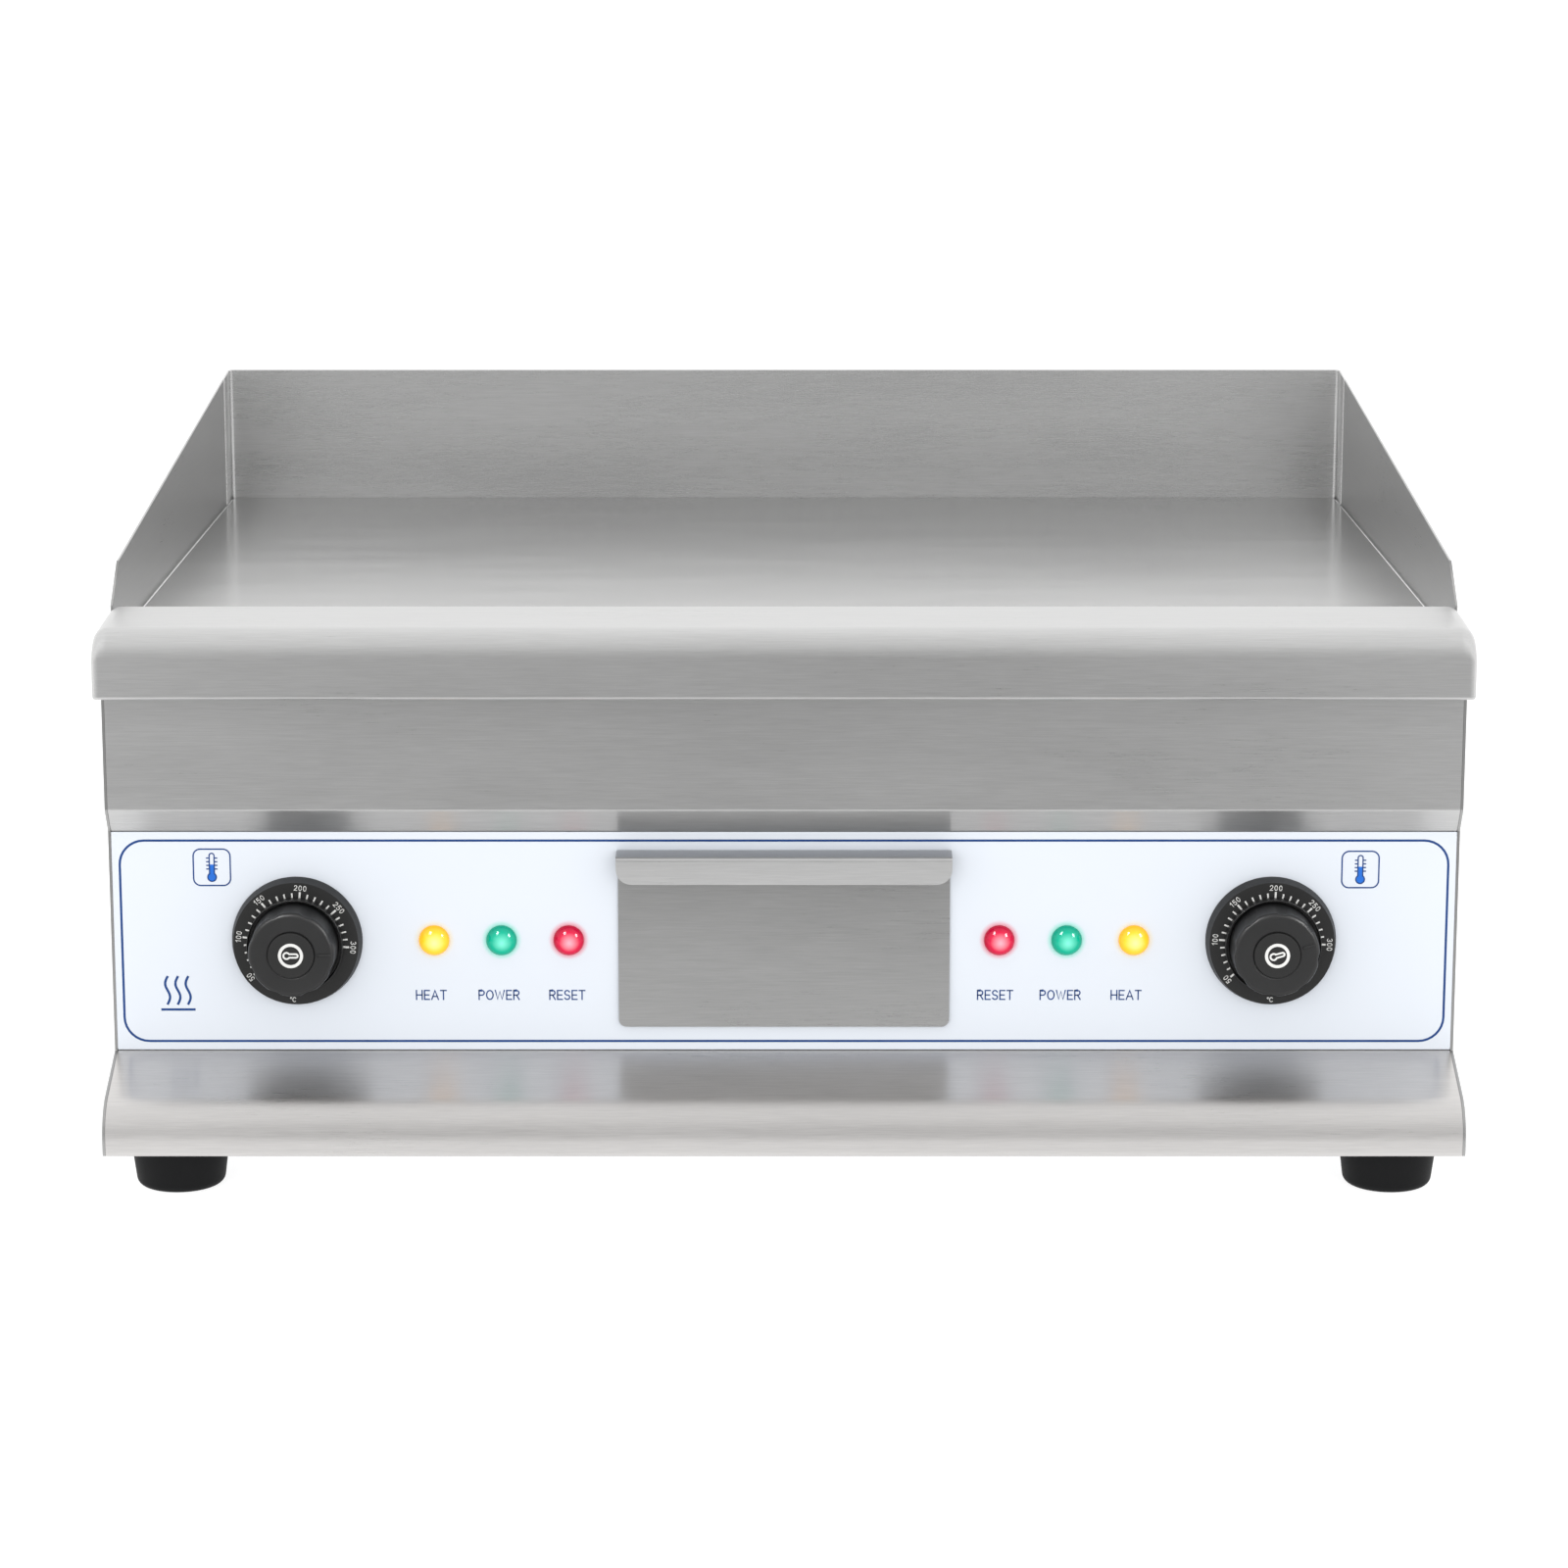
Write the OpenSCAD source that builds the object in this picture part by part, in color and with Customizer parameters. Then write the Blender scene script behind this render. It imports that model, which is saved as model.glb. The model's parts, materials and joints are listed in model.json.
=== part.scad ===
// Flat top electric griddle: a steel plate over two heating zones, with splash guards,
// a grease trough behind the front lip and a grease drawer in the control panel.
// Millimetres. X runs along the width, Y runs from the front to the back, Z is up.
// The origin is on the table, under the middle of the whole object.
// Inside the from_nose() blocks, Y is the depth behind the foremost point of the base.

/* [Body] */
// Width over the side panels
body_w = 600; // [590:1:640]
// Depth from the nose of the base to the back panel
body_d = 510; // [505:1:540]
// Thickness of the body sheet
sheet_t = 1.2; // [1:0.1:1.2]
// Height of the rubber feet
foot_h = 23.4; // [22:0.2:25]

/* [Cooking top] */
// Height of the cooking surface above the table
plate_top = 241.5; // [239:0.5:246]
// Thickness of the cooking plate
plate_t = 8; // [6:1:8]
// Height of the back splash guard above the cooking surface
splash_h = 69.5; // [60:0.5:90]
// Height of the front lip above the cooking surface
lip_h = 15.9; // [15:0.1:18]

/* [Controls] */
// Height of the knobs and lamps above the table
control_z = 110.7; // [108:0.1:114]
// Distance of each knob from the middle
knob_x = 217; // [212:1:225]
// Diameter of the numbered dial
dial_d = 58.2; // [56:0.2:60]
// Diameter of the knob's grip
knob_d = 42.6; // [40:0.2:44]
// Clockwise turn of the left knob's pointer from straight up
pointer_left = 90; // [0:1:95]
// Clockwise turn of the right knob's pointer from straight up
pointer_right = 74; // [0:1:95]
// Radius of the lamp lenses
lens_r = 6.8; // [6.5:0.1:7.5]

/* [Grease drawer] */
// Width of the drawer front
drawer_w = 147.6; // [144:0.2:149]
// Length of the drawer tray
tray_l = 236; // [200:1:250]

/* [Hidden] */
$fn = 64;

// Clearances
cut = 1;
thread_gap = 0.05;
bolt_gap = 0.3;
panel_gap = 0.2;

// Body levels
body_half = body_w / 2;
inner_half = body_half - sheet_t;
gland_out = 22;
deck_z = plate_top - plate_t - sheet_t;
floor_z = foot_h + sheet_t;
rear_y = body_d - sheet_t;

// Front profile, seen from the side
apron_y = 37.4;
overlay_t = 0.4;
panel_y = 45.4;
overlay_y = panel_y - overlay_t;
tongue_y = panel_y + sheet_t;
apron_bottom_z = 171.6;
panel_top_z = 158.2;
ramp_top_z = 60.4;
panel_bottom_z = ramp_top_z + 0.4;
overlay_z = [panel_bottom_z - 0.6, panel_top_z + 1.9];
nose_z = 43.2;
nose_r = 19;

// Front lip
lip_top_z = plate_top + lip_h;
lip_front = 18.4;
lip_back = 72;
lip_bottom_z = 224.6;
lip_half = body_half + sheet_t + 0.1;
lip_r = 12;

// Cooking top
plate_half = inner_half - 1;
plate_front = 112;
plate_back = rear_y - 0.5;
splash_front = lip_back + 0.2;
splash_knee_y = 94.5;
splash_knee_z = plate_top + 32.5;
splash_top_z = plate_top + splash_h;
splash_return_y = body_d - 26;
flange_w = 12;
trough_back = 116.5;
trough_z = 210.8;
drain_y = 94;
drain_r = 11;
spout_r = 12;
spout_bottom_z = 150;

// Drawer
front_plate_y = 43.2;
front_plate_z = [71.2, 152.4];
pull_y = 30.4;
pull_drop = 13.4;
pull_lean = 1.7;
tray_half = 67.5;
tray_y = front_plate_y + sheet_t;
tray_z = [78, 136];
tray_t = 1;
cut_half = 70;
cut_z = [75, 140];
rail_z = tray_z[0] - 0.1;
rail_end_y = 300;

// Knobs, thermostats and limiters
dial_t = 7;
dial_edge_t = 0.8;
dial_face_r = dial_d / 2 - 1.3;
dial_y = overlay_y - dial_t;
shaft_r = 3;
shaft_in = 26.5;
shaft_out = 17;
knob_gap = 0.3;
knob_l = 21.5;
knob_neck_z = 4;
knob_skirt_z = 6;
lobe_cut_r = 9.4;
cap_r = 10.2;
cap_seat_z = knob_l - 1.5;
rib_l = 7.2;
dial_screw_x = 14;
thermostat_plate = [40, 24, 1.6];
thermostat_box = [36, 42, 24.5];
tab = [0.8, 6.3, 8];
limiter_box = [34, 24, 24];
reset_x = 150;
reset_z = 120;
button_r = 4;

// Lamps, from the drawer outwards
lamp_x = [96, 126, 156];
lamp_hole_r = 6;
lamp_nut_r = 8.5;
lamp_nut_h = 4;
lamp_body_r = 6.5;
lamp_body_l = 22.5;

// Heating zones
tube_r = 4;
tube_z = plate_top - plate_t - tube_r - 0.2;
run_x = [40, 85, 130, 175, 220, 265];
run_r = (run_x[1] - run_x[0]) / 2;
run_y = [160, 450];
bar_y = [190, 300, 410];
bar_t = 2;
bar_z = tube_z - tube_r - bar_t;
stud_x = [107.5, 242.5];
stud_r = 3;
probe_x = 62.5;
limiter_probe_x = 152.5;
bulb_r = 3;
bulb_z = plate_top - plate_t - bulb_r - 0.4;
shield_z = 190;
shield_y = [128, 495];
mat_top_z = 211;

// Back connections
gland_x = 230;
gland_z = 60;
gland_r = 9.8;
cord_r = 5.5;
bond_x = 185;
bond_z = 60;
bond_free_from = 6.2;
bond_free_l = 11.8;
screw_r = 2;
nut_r = 5.8;
nut_h = 5;
back_vent = [50, 3];
back_vent_pitch = [62, 9];
base_vent = [56, 4];
base_vent_pitch = [80, 12];
back_screw_z = [45, 100, 160, 215];
base_screw_y = [90, 260, 430];
screw_x = inner_half - 6;

// Feet
foot_x = 271;
foot_y = [40, 470];
foot_top_r = 22.4;
foot_bottom_r = 19.4;
foot_recess_z = 8;
bolt_r = 3;

// Routes of the capillaries and wires on the right-hand side: [x, depth, z]
thermostat_route = [[62.5, 202, 228.6], [62.5, 170, 228.6], [62.5, 140, 228.6], [62.5, 126, 226],
    [62.5, 122, 216], [63, 122, 196], [72, 118, 176], [100, 106, 160], [140, 92, 150],
    [180, 80, 146], [203, 72, 142], [205, 66, 137], [205, 65, 132]];
limiter_route = [[152.5, 152, 228.6], [152.5, 138, 228.6], [152.5, 126, 226], [152.5, 122, 216],
    [152.5, 122, 190], [156, 130, 172], [168, 170, 160], [176, 240, 152], [176, 330, 148],
    [170, 410, 146], [160, 440, 142], [153, 462, 134], [150, 474, 131], [150, 482.2, 130]];
element_wire_route = [[40, 148, 177.5], [40, 148, 168], [46, 140, 156], [70, 118, 138], [120, 104, 124],
    [170, 98, 112], [196, 96, 107], [205, 90, 106], [205.4, 80.2, 106]];
return_wire_route = [[265, 148, 177.5], [265, 148, 166], [264, 156, 140], [262, 180, 100], [258, 230, 60],
    [252, 300, 42], [240, 380, 38], [224, 430, 40], [214, 446, 44]];
supply_wire_route = [[200, 446, 44], [192, 430, 36], [180, 390, 32], [170, 320, 31], [168, 220, 31],
    [172, 140, 34], [186, 112, 48], [204, 104, 72], [212, 100, 92], [213.4, 92, 104],
    [213.4, 80.2, 106]];
cross_wire_route = [[186, 446, 44], [178, 428, 38], [150, 400, 33], [90, 370, 31], [0, 350, 31],
    [-90, 330, 31], [-150, 290, 31], [-176, 220, 31], [-182, 140, 34], [-192, 112, 48],
    [-206, 104, 72], [-212, 100, 92], [-213.4, 92, 104], [-213.4, 80.2, 106]];

// ---------------------------------------------------------------------------
// Folded sheet: an open path of [across, up, bend radius] follows the outer face,
// and the sheet lies on the left of the path.

function flat(p) = [p[0], p[1]];
function unit(v) = v / norm(v);
function left_of(a, b) = let(d = unit(flat(b) - flat(a))) [-d[1], d[0]];
function turn(a, b, c) = sign(cross(flat(b) - flat(a), flat(c) - flat(b)));
function is_end(path, i) = i == 0 || i == len(path) - 1;

// Corner i of the path, moved a distance t to its left
function moved(path, i, t) =
    let(last = len(path) - 1,
        before = i > 0 ? left_of(path[i - 1], path[i]) : left_of(path[0], path[1]),
        after = i < last ? left_of(path[i], path[i + 1]) : before)
    flat(path[i]) + t * (before + after) / (1 + before * after);

// Arc of radius r that rounds the corner at b between a and c
function corner(a, b, c, r) =
    r <= 0 ? [b] :
    let(to_a = unit(a - b),
        to_c = unit(c - b),
        half = acos(to_a * to_c) / 2,
        middle = b + unit(to_a + to_c) * r / sin(half),
        start = b + to_a * r / tan(half) - middle,
        stop = b + to_c * r / tan(half) - middle,
        from = atan2(start[1], start[0]),
        sweep = atan2(cross(start, stop), start * stop),
        steps = max(2, ceil(abs(sweep) * sqrt(r) / 25)))
    [for (k = [0:steps]) middle + r * [cos(from + sweep * k / steps), sin(from + sweep * k / steps)]];

// One face of the sheet, a distance t to the left of its path
function sheet_face(path, t) =
    [for (i = [0:len(path) - 1]) each
        is_end(path, i) ? [moved(path, i, t)] :
        corner(moved(path, i - 1, t), moved(path, i, t), moved(path, i + 1, t),
            path[i][2] - t * turn(path[i - 1], path[i], path[i + 1]))];

function reversed(list) = [for (i = [len(list) - 1:-1:0]) list[i]];
function sheet_section(path, t) = concat(sheet_face(path, 0), reversed(sheet_face(path, t)));

// Closed outline with a radius at each corner
function closed_outline(path) =
    let(n = len(path))
    [for (i = [0:n - 1]) each
        corner(flat(path[(i + n - 1) % n]), flat(path[i]), flat(path[(i + 1) % n]), path[i][2])];

module from_nose() translate([0, -(body_d + gland_out) / 2, 0]) children();

module slab(x, y, z) translate([x[0], y[0], z[0]]) cube([x[1] - x[0], y[1] - y[0], z[1] - z[0]]);

// A section drawn in depth and height, pulled along X
module along_x(x0, x1) translate([x0, 0, 0]) rotate([90, 0, 90]) linear_extrude(x1 - x0) children();

module folded_along_x(path, half_width, t = sheet_t)
    along_x(-half_width, half_width) polygon(sheet_section(path, t));

// Local Z points out of the front, local Y up
module facing_front(x, y, z) translate([x, y, z]) rotate([90, 0, 0]) children();

// Local Z points out of the back
module facing_back(x, y, z) translate([x, y, z]) rotate([-90, 0, 0]) children();

module nut(thread_r) difference() {
    cylinder(r = nut_r, h = nut_h, $fn = 6);
    translate([0, 0, -cut]) cylinder(r = thread_r + thread_gap, h = nut_h + 2 * cut);
}

module left_side() mirror([1, 0, 0]) children();

module both_sides() {
    children();
    mirror([1, 0, 0]) children();
}

module lying_slot(length, width, height)
    for (end = [-1, 1])
        translate([end * (length - width) / 2, 0, 0]) cylinder(d = width, h = height);

module vent_slot(length, width, height) {
    lying_slot(length, width, height);
    translate([-(length - width) / 2, -width / 2, 0]) cube([length - width, width, height]);
}

// ---------------------------------------------------------------------------
// Round cords held inside the body: one tube swept along a smooth route

function blend(p0, p1, p2, p3, t) =
    0.5 * (2 * p1 + (p2 - p0) * t + (2 * p0 - 5 * p1 + 4 * p2 - p3) * t * t
        + (3 * p1 - p0 - 3 * p2 + p3) * t * t * t);

function route_point(route, i) = route[min(max(i, 0), len(route) - 1)];

function smooth_route(route, steps) = concat(
    [for (i = [0:len(route) - 2], k = [0:steps - 1])
        blend(route_point(route, i - 1), route[i], route[i + 1], route_point(route, i + 2), k / steps)],
    [route[len(route) - 1]]);

function tangent(points, i) =
    unit(points[min(i + 1, len(points) - 1)] - points[max(i - 1, 0)]);

// Sideways direction carried along the route without twisting
function carried(points, i) =
    let(t = tangent(points, i),
        before = i == 0 ? (abs(t[0]) < 0.8 ? [1, 0, 0] : [0, 1, 0]) : carried(points, i - 1))
    unit(before - (before * t) * t);

module cord(route, r, steps = 3, sides = 8) {
    points = smooth_route(route, steps);
    last = len(points) - 1;
    rings = [for (i = [0:last], k = [0:sides - 1])
        let(side = carried(points, i),
            up = cross(tangent(points, i), side))
        points[i] + r * (side * cos(360 * k / sides) + up * sin(360 * k / sides))];
    walls = [for (i = [0:last - 1], k = [0:sides - 1])
        let(next = (k + 1) % sides)
        [i * sides + k, i * sides + next, (i + 1) * sides + next, (i + 1) * sides + k]];
    first_end = [for (k = [sides - 1:-1:0]) k];
    last_end = [for (k = [0:sides - 1]) last * sides + k];
    polyhedron(rings, concat([first_end], [last_end], [for (w = walls) reversed(w)]));
}

// ---------------------------------------------------------------------------
// Cooking top

module griddle_plate() color("#a9a9a7") from_nose()
    slab([-plate_half, plate_half], [plate_front, plate_back], [plate_top - plate_t, plate_top]);

splash_side_outline = [[splash_front, deck_z], [splash_front, lip_top_z], [splash_knee_y, splash_knee_z],
    [body_d, splash_top_z], [body_d, deck_z]];

// Wall with short returns round both corners, cut to the slope of the side guards
module splash_back() color("#b5b5b3") from_nose() {
    path = [[-body_half, splash_return_y], [-body_half, body_d, 3], [body_half, body_d, 3],
        [body_half, splash_return_y]];
    intersection() {
        translate([0, 0, deck_z]) linear_extrude(splash_top_z - deck_z)
            polygon(sheet_section(path, -sheet_t));
        along_x(-body_half, body_half) polygon(splash_side_outline);
    }
    slab([-inner_half + flange_w, inner_half - flange_w], [body_d - 14, rear_y + 0.2],
        [deck_z, deck_z + sheet_t]);
}

// Side guard with the flange that carries the plate
module splash_side() {
    intersection() {
        along_x(inner_half, body_half) polygon(splash_side_outline);
        slab([inner_half, body_half], [0, splash_return_y], [deck_z, splash_top_z]);
    }
    slab([inner_half - flange_w + panel_gap, inner_half + panel_gap], [trough_back + 1.5, splash_return_y],
        [deck_z, deck_z + sheet_t]);
}

module splash_left() color("#adadab") from_nose() left_side() splash_side();
module splash_right() color("#adadab") from_nose() splash_side();

// Channel between the lip and the plate, closed at both ends, with a drain hole
module grease_trough() color("#9c9c9a") from_nose() {
    front = lip_back + 1.4;
    top = plate_top - plate_t;
    path = [[front, top - 1.2], [front, trough_z, 3], [trough_back, trough_z, 3], [trough_back, top]];
    section = sheet_section(path, sheet_t);
    end_wall = [[front, top - 1.2, 0], [front, trough_z, 3], [trough_back, trough_z, 3],
        [trough_back, top - 1.2, 0]];
    difference() {
        union() {
            along_x(-inner_half + 0.6, inner_half - 0.6) polygon(section);
            both_sides() along_x(inner_half - 0.6 - sheet_t, inner_half - 0.6)
                polygon(closed_outline(end_wall));
        }
        translate([0, drain_y, trough_z - 1]) cylinder(r = drain_r, h = 4);
    }
}

// Flanged tube that leads the grease into the drawer
module drain_spout() color("#b0b0ae") from_nose() translate([0, drain_y, 0]) difference() {
    union() {
        translate([0, 0, spout_bottom_z]) cylinder(r = spout_r, h = trough_z - spout_bottom_z);
        translate([0, 0, trough_z - 1.5]) cylinder(r = spout_r + 5, h = 1.5);
    }
    translate([0, 0, spout_bottom_z - 1]) cylinder(r = drain_r, h = trough_z - spout_bottom_z + 2);
}

// ---------------------------------------------------------------------------
// Front

lip_path = [[lip_back, deck_z + 0.4], [lip_back, lip_top_z, 2], [lip_front, lip_top_z - 2.7, lip_r],
    [lip_front, lip_bottom_z, 2], [apron_y, lip_bottom_z]];

// Folded lip with closed ends that reach over the side panels
module front_lip() color("#c9c9c7") from_nose() {
    folded_along_x(lip_path, lip_half - sheet_t);
    both_sides() along_x(lip_half - sheet_t, lip_half)
        polygon(concat(sheet_face(lip_path, 0), [[lip_back, lip_bottom_z]]));
}

module front_apron() color("#a5a5a3") from_nose()
    folded_along_x([[apron_y, deck_z - 0.8], [apron_y, apron_bottom_z, 2],
        [tongue_y, panel_top_z + 0.4, 0.3], [tongue_y, panel_top_z - 18]], inner_half);

module panel_openings(from, depth) {
    both_sides() {
        facing_front(knob_x, from, control_z) cylinder(r = 5, h = depth);
        for (side = [-1, 1])
            facing_front(knob_x + side * dial_screw_x, from, control_z) cylinder(r = 2.2, h = depth);
        for (x = lamp_x)
            facing_front(x, from, control_z) cylinder(r = lamp_hole_r, h = depth);
    }
    slab([-cut_half, cut_half], [from - depth, from], cut_z);
}

module control_panel() color("#b5b5b3") from_nose() difference() {
    slab([-inner_half, inner_half], [panel_y, panel_y + sheet_t], [panel_bottom_z, panel_top_z]);
    panel_openings(panel_y + 3, 6);
}

module panel_overlay() color("#f4fafe") from_nose() difference() {
    slab([-inner_half + panel_gap, inner_half - panel_gap], [overlay_y, panel_y], overlay_z);
    panel_openings(panel_y + 3, 6);
}

module base_nose() color("#b9b9b7") from_nose()
    folded_along_x([[tongue_y, ramp_top_z + 13], [tongue_y, ramp_top_z, 0.3], [0, nose_z, nose_r],
        [0, foot_h, 2], [20, foot_h]], inner_half);

// ---------------------------------------------------------------------------
// Body box

side_outline = [[body_d, foot_h, 0], [0, foot_h, 2], [0, nose_z, nose_r],
    [overlay_y, ramp_top_z - 0.6, 1], [overlay_y, panel_top_z + 2.6, 1], [apron_y, apron_bottom_z, 2],
    [apron_y, deck_z, 0], [body_d, deck_z, 0]];

module side_panel() difference() {
    union() {
        along_x(inner_half, body_half) polygon(closed_outline(side_outline));
        slab([inner_half - flange_w, inner_half + panel_gap], [trough_back + 3, body_d - 14],
            [deck_z - sheet_t, deck_z]);
        slab([inner_half - flange_w, inner_half + panel_gap], [54, body_d - 14],
            [floor_z, floor_z + sheet_t]);
        slab([inner_half - flange_w, inner_half + panel_gap], [rear_y - sheet_t, rear_y],
            [floor_z + 2, deck_z - 3]);
        slab([inner_half - flange_w, inner_half + panel_gap], [tongue_y, tongue_y + sheet_t],
            [ramp_top_z + 20, panel_top_z - 22]);
    }
    for (z = back_screw_z)
        facing_back(screw_x, rear_y - 4, z) cylinder(r = screw_r + thread_gap, h = 8);
    for (y = base_screw_y)
        translate([screw_x, y, floor_z - 1]) cylinder(r = screw_r + thread_gap, h = 4);
}

module side_panel_left() color("#adadab") from_nose() left_side() side_panel();
module side_panel_right() color("#adadab") from_nose() side_panel();

// Back cover with vents, and openings for the cord gland, the bonding stud and the resets
module back_panel() color("#a5a5a3") from_nose() difference() {
    slab([-inner_half + panel_gap, inner_half - panel_gap], [rear_y, body_d], [foot_h + 0.4, deck_z - 0.4]);
    for (column = [-1:1], row = [0:5])
        facing_back(column * back_vent_pitch[0], rear_y - cut, 140 + row * back_vent_pitch[1])
            vent_slot(back_vent[0], back_vent[1], 4);
    both_sides() {
        for (z = back_screw_z)
            facing_back(screw_x, rear_y - 1, z) cylinder(r = screw_r + panel_gap, h = 4);
        facing_back(reset_x, rear_y - 1, reset_z) cylinder(r = button_r + thread_gap, h = 4);
    }
    facing_back(gland_x, rear_y - 1, gland_z) cylinder(r = gland_r + panel_gap, h = 4);
    facing_back(bond_x, rear_y - 1, bond_z) cylinder(r = bolt_r + bolt_gap, h = 4);
}

module bottom_plate() color("#8f8f8d") from_nose() difference() {
    slab([-inner_half + panel_gap, inner_half - panel_gap], [20.5, rear_y - 0.2], [foot_h, floor_z]);
    for (column = [-2:2], row = [0:4])
        translate([column * base_vent_pitch[0], 330 + row * base_vent_pitch[1], foot_h - cut])
            vent_slot(base_vent[0], base_vent[1], 4);
    both_sides() {
        for (y = foot_y)
            translate([foot_x, y, foot_h - 1]) cylinder(r = bolt_r + bolt_gap, h = 4);
        for (y = base_screw_y)
            translate([screw_x, y, foot_h - 1]) cylinder(r = screw_r + panel_gap, h = 4);
    }
}

// ---------------------------------------------------------------------------
// Grease drawer

module drawer_tray() color("#b0b0ae") from_nose() difference() {
    slab([-tray_half, tray_half], [tray_y, tray_y + tray_l], tray_z);
    slab([-tray_half + tray_t, tray_half - tray_t], [tray_y + tray_t, tray_y + tray_l - tray_t],
        [tray_z[0] + tray_t, tray_z[1] + 1]);
}

// Front plate whose top edge folds forward and down into a finger pull
module drawer_front() color("#9b9b99") from_nose() {
    half = drawer_w / 2;
    top = front_plate_z[1];
    difference() {
        along_x(-half - 0.5, half + 0.5) polygon(sheet_section([[tray_y, front_plate_z[0]],
            [tray_y, top, 1.6], [pull_y, top - 1, 1.6], [pull_y + pull_lean, top - pull_drop]],
            sheet_t));
        both_sides() {
            facing_front(half - 3.3, tray_y + 1, front_plate_z[0] + 3.3) difference() {
                translate([0, -5, 0]) cube([8, 5, 8]);
                cylinder(r = 3.3, h = 8);
            }
            facing_front(half - 6.5, pull_y + 4, top - pull_drop + 7) difference() {
                translate([0, -9, 0]) cube([10, 9, 8]);
                cylinder(r = 7, h = 8);
            }
        }
        both_sides() slab([half, half + 2], [tray_y - 3, tray_y + 1], [front_plate_z[0] - 1, top - 4]);
    }
}

// Angle rail beside and under the tray, with a front tab and a rear leg
module drawer_runner() {
    wall = tray_half + 2.1;
    slab([tray_half - 10, wall + sheet_t], [tongue_y + 0.2, rail_end_y], [rail_z - sheet_t, rail_z]);
    slab([wall, wall + sheet_t], [tongue_y + 0.2, rail_end_y], [rail_z - 0.1, rail_z + 24]);
    slab([wall, wall + 16], [tongue_y, tongue_y + sheet_t], [ramp_top_z + 20, rail_z + 24]);
    slab([tray_half - 10, wall + sheet_t], [rail_end_y - sheet_t, rail_end_y], [floor_z, rail_z]);
    slab([tray_half - 10, wall + sheet_t], [rail_end_y - 15, rail_end_y], [floor_z, floor_z + sheet_t]);
}

module drawer_runner_left() color("#8f8f8d") from_nose() left_side() drawer_runner();
module drawer_runner_right() color("#8f8f8d") from_nose() drawer_runner();

// ---------------------------------------------------------------------------
// Dials, knobs and thermostats

countersink_r = 3.6;
countersink_l = countersink_r - screw_r;

module dial() difference() {
    rotate_extrude() polygon([[5, 0], [dial_d / 2, 0], [dial_d / 2, dial_edge_t],
        [dial_face_r, dial_t], [5, dial_t]]);
    for (side = [-1, 1]) translate([side * dial_screw_x, 0, 0]) {
        translate([0, 0, -cut]) cylinder(r = screw_r + panel_gap, h = dial_t);
        translate([0, 0, dial_t - countersink_l])
            cylinder(r1 = screw_r + 0.1, r2 = countersink_r + 0.1, h = countersink_l);
        translate([0, 0, dial_t]) cylinder(r = countersink_r + 0.1, h = 1);
    }
}

module dial_left() color("#3b3c3d") from_nose() facing_front(-knob_x, overlay_y, control_z) dial();
module dial_right() color("#3b3c3d") from_nose() facing_front(knob_x, overlay_y, control_z) dial();

// Countersunk screws that hold the dials and the thermostats to the panel
module dial_screws() color("#9a9a98") from_nose()
    for (x = [-knob_x, knob_x], side = [-1, 1])
        facing_front(x + side * dial_screw_x, overlay_y, control_z) difference() {
            union() {
                translate([0, 0, -9]) cylinder(r = screw_r, h = 9 + dial_t - countersink_l);
                translate([0, 0, dial_t - countersink_l])
                    cylinder(r1 = screw_r, r2 = countersink_r, h = countersink_l);
            }
            translate([-3, -0.4, dial_t - 0.8]) cube([6, 0.8, 2]);
        }

// Eight-lobed grip on a round skirt and a narrower neck, with a seat for the cap, a hollow
// round the shaft's boss and a pointer rib on the face
module knob() difference() {
    union() {
        difference() {
            rotate_extrude() polygon([[0, knob_gap], [knob_d / 2 - 2.6, knob_gap],
                [knob_d / 2 - 2.6, knob_neck_z], [knob_d / 2, knob_neck_z], [knob_d / 2, knob_skirt_z],
                [knob_d / 2 - 1.2, knob_skirt_z + 0.6], [knob_d / 2 - 1.8, knob_l - 5],
                [knob_d / 2 - 2.8, knob_l - 2.2], [knob_d / 2 - 5, knob_l - 0.8],
                [knob_d / 2 - 8, knob_l], [0, knob_l]]);
            for (k = [0:7]) rotate([0, 0, 22.5 + 45 * k])
                translate([knob_d / 2 + 7, 0, knob_skirt_z + 0.6]) cylinder(r = lobe_cut_r, h = knob_l);
        }
        translate([-0.45, cap_r + 1.3, knob_l - 3]) cube([0.9, rib_l, 3]);
    }
    translate([0, 0, -cut]) cylinder(r = shaft_r + 0.02, h = shaft_out + cut);
    difference() {
        translate([0, 0, -cut]) cylinder(r = 15, h = 10);
        translate([0, 0, -2 * cut]) cylinder(r = 7, h = 12);
    }
    translate([0, 0, cap_seat_z]) cylinder(r = cap_r + 0.1, h = 3);
}

module knob_cap() translate([0, 0, cap_seat_z])
    rotate_extrude() polygon([[0, 0], [cap_r, 0], [cap_r, 1.4], [cap_r - 0.4, 1.8], [0, 1.8]]);

// Shaft with its flat on the pointer's side
module knob_shaft() difference() {
    translate([0, 0, -shaft_in]) cylinder(r = shaft_r, h = shaft_in + shaft_out);
    translate([-5, 2.2, 6]) cube([10, 5, 15]);
}

module at_knob(side, pointer) from_nose() facing_front(side * knob_x, dial_y, control_z)
    rotate([0, 0, -pointer]) children();

module knob_left() color("#2e2f30") at_knob(-1, pointer_left) knob();
module knob_right() color("#2e2f30") at_knob(1, pointer_right) knob();
module knob_cap_left() color("#3a3b3c") at_knob(-1, pointer_left) knob_cap();
module knob_cap_right() color("#3a3b3c") at_knob(1, pointer_right) knob_cap();
module knob_shaft_left() color("#a8a8a6") at_knob(-1, pointer_left) knob_shaft();
module knob_shaft_right() color("#a8a8a6") at_knob(1, pointer_right) knob_shaft();

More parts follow.
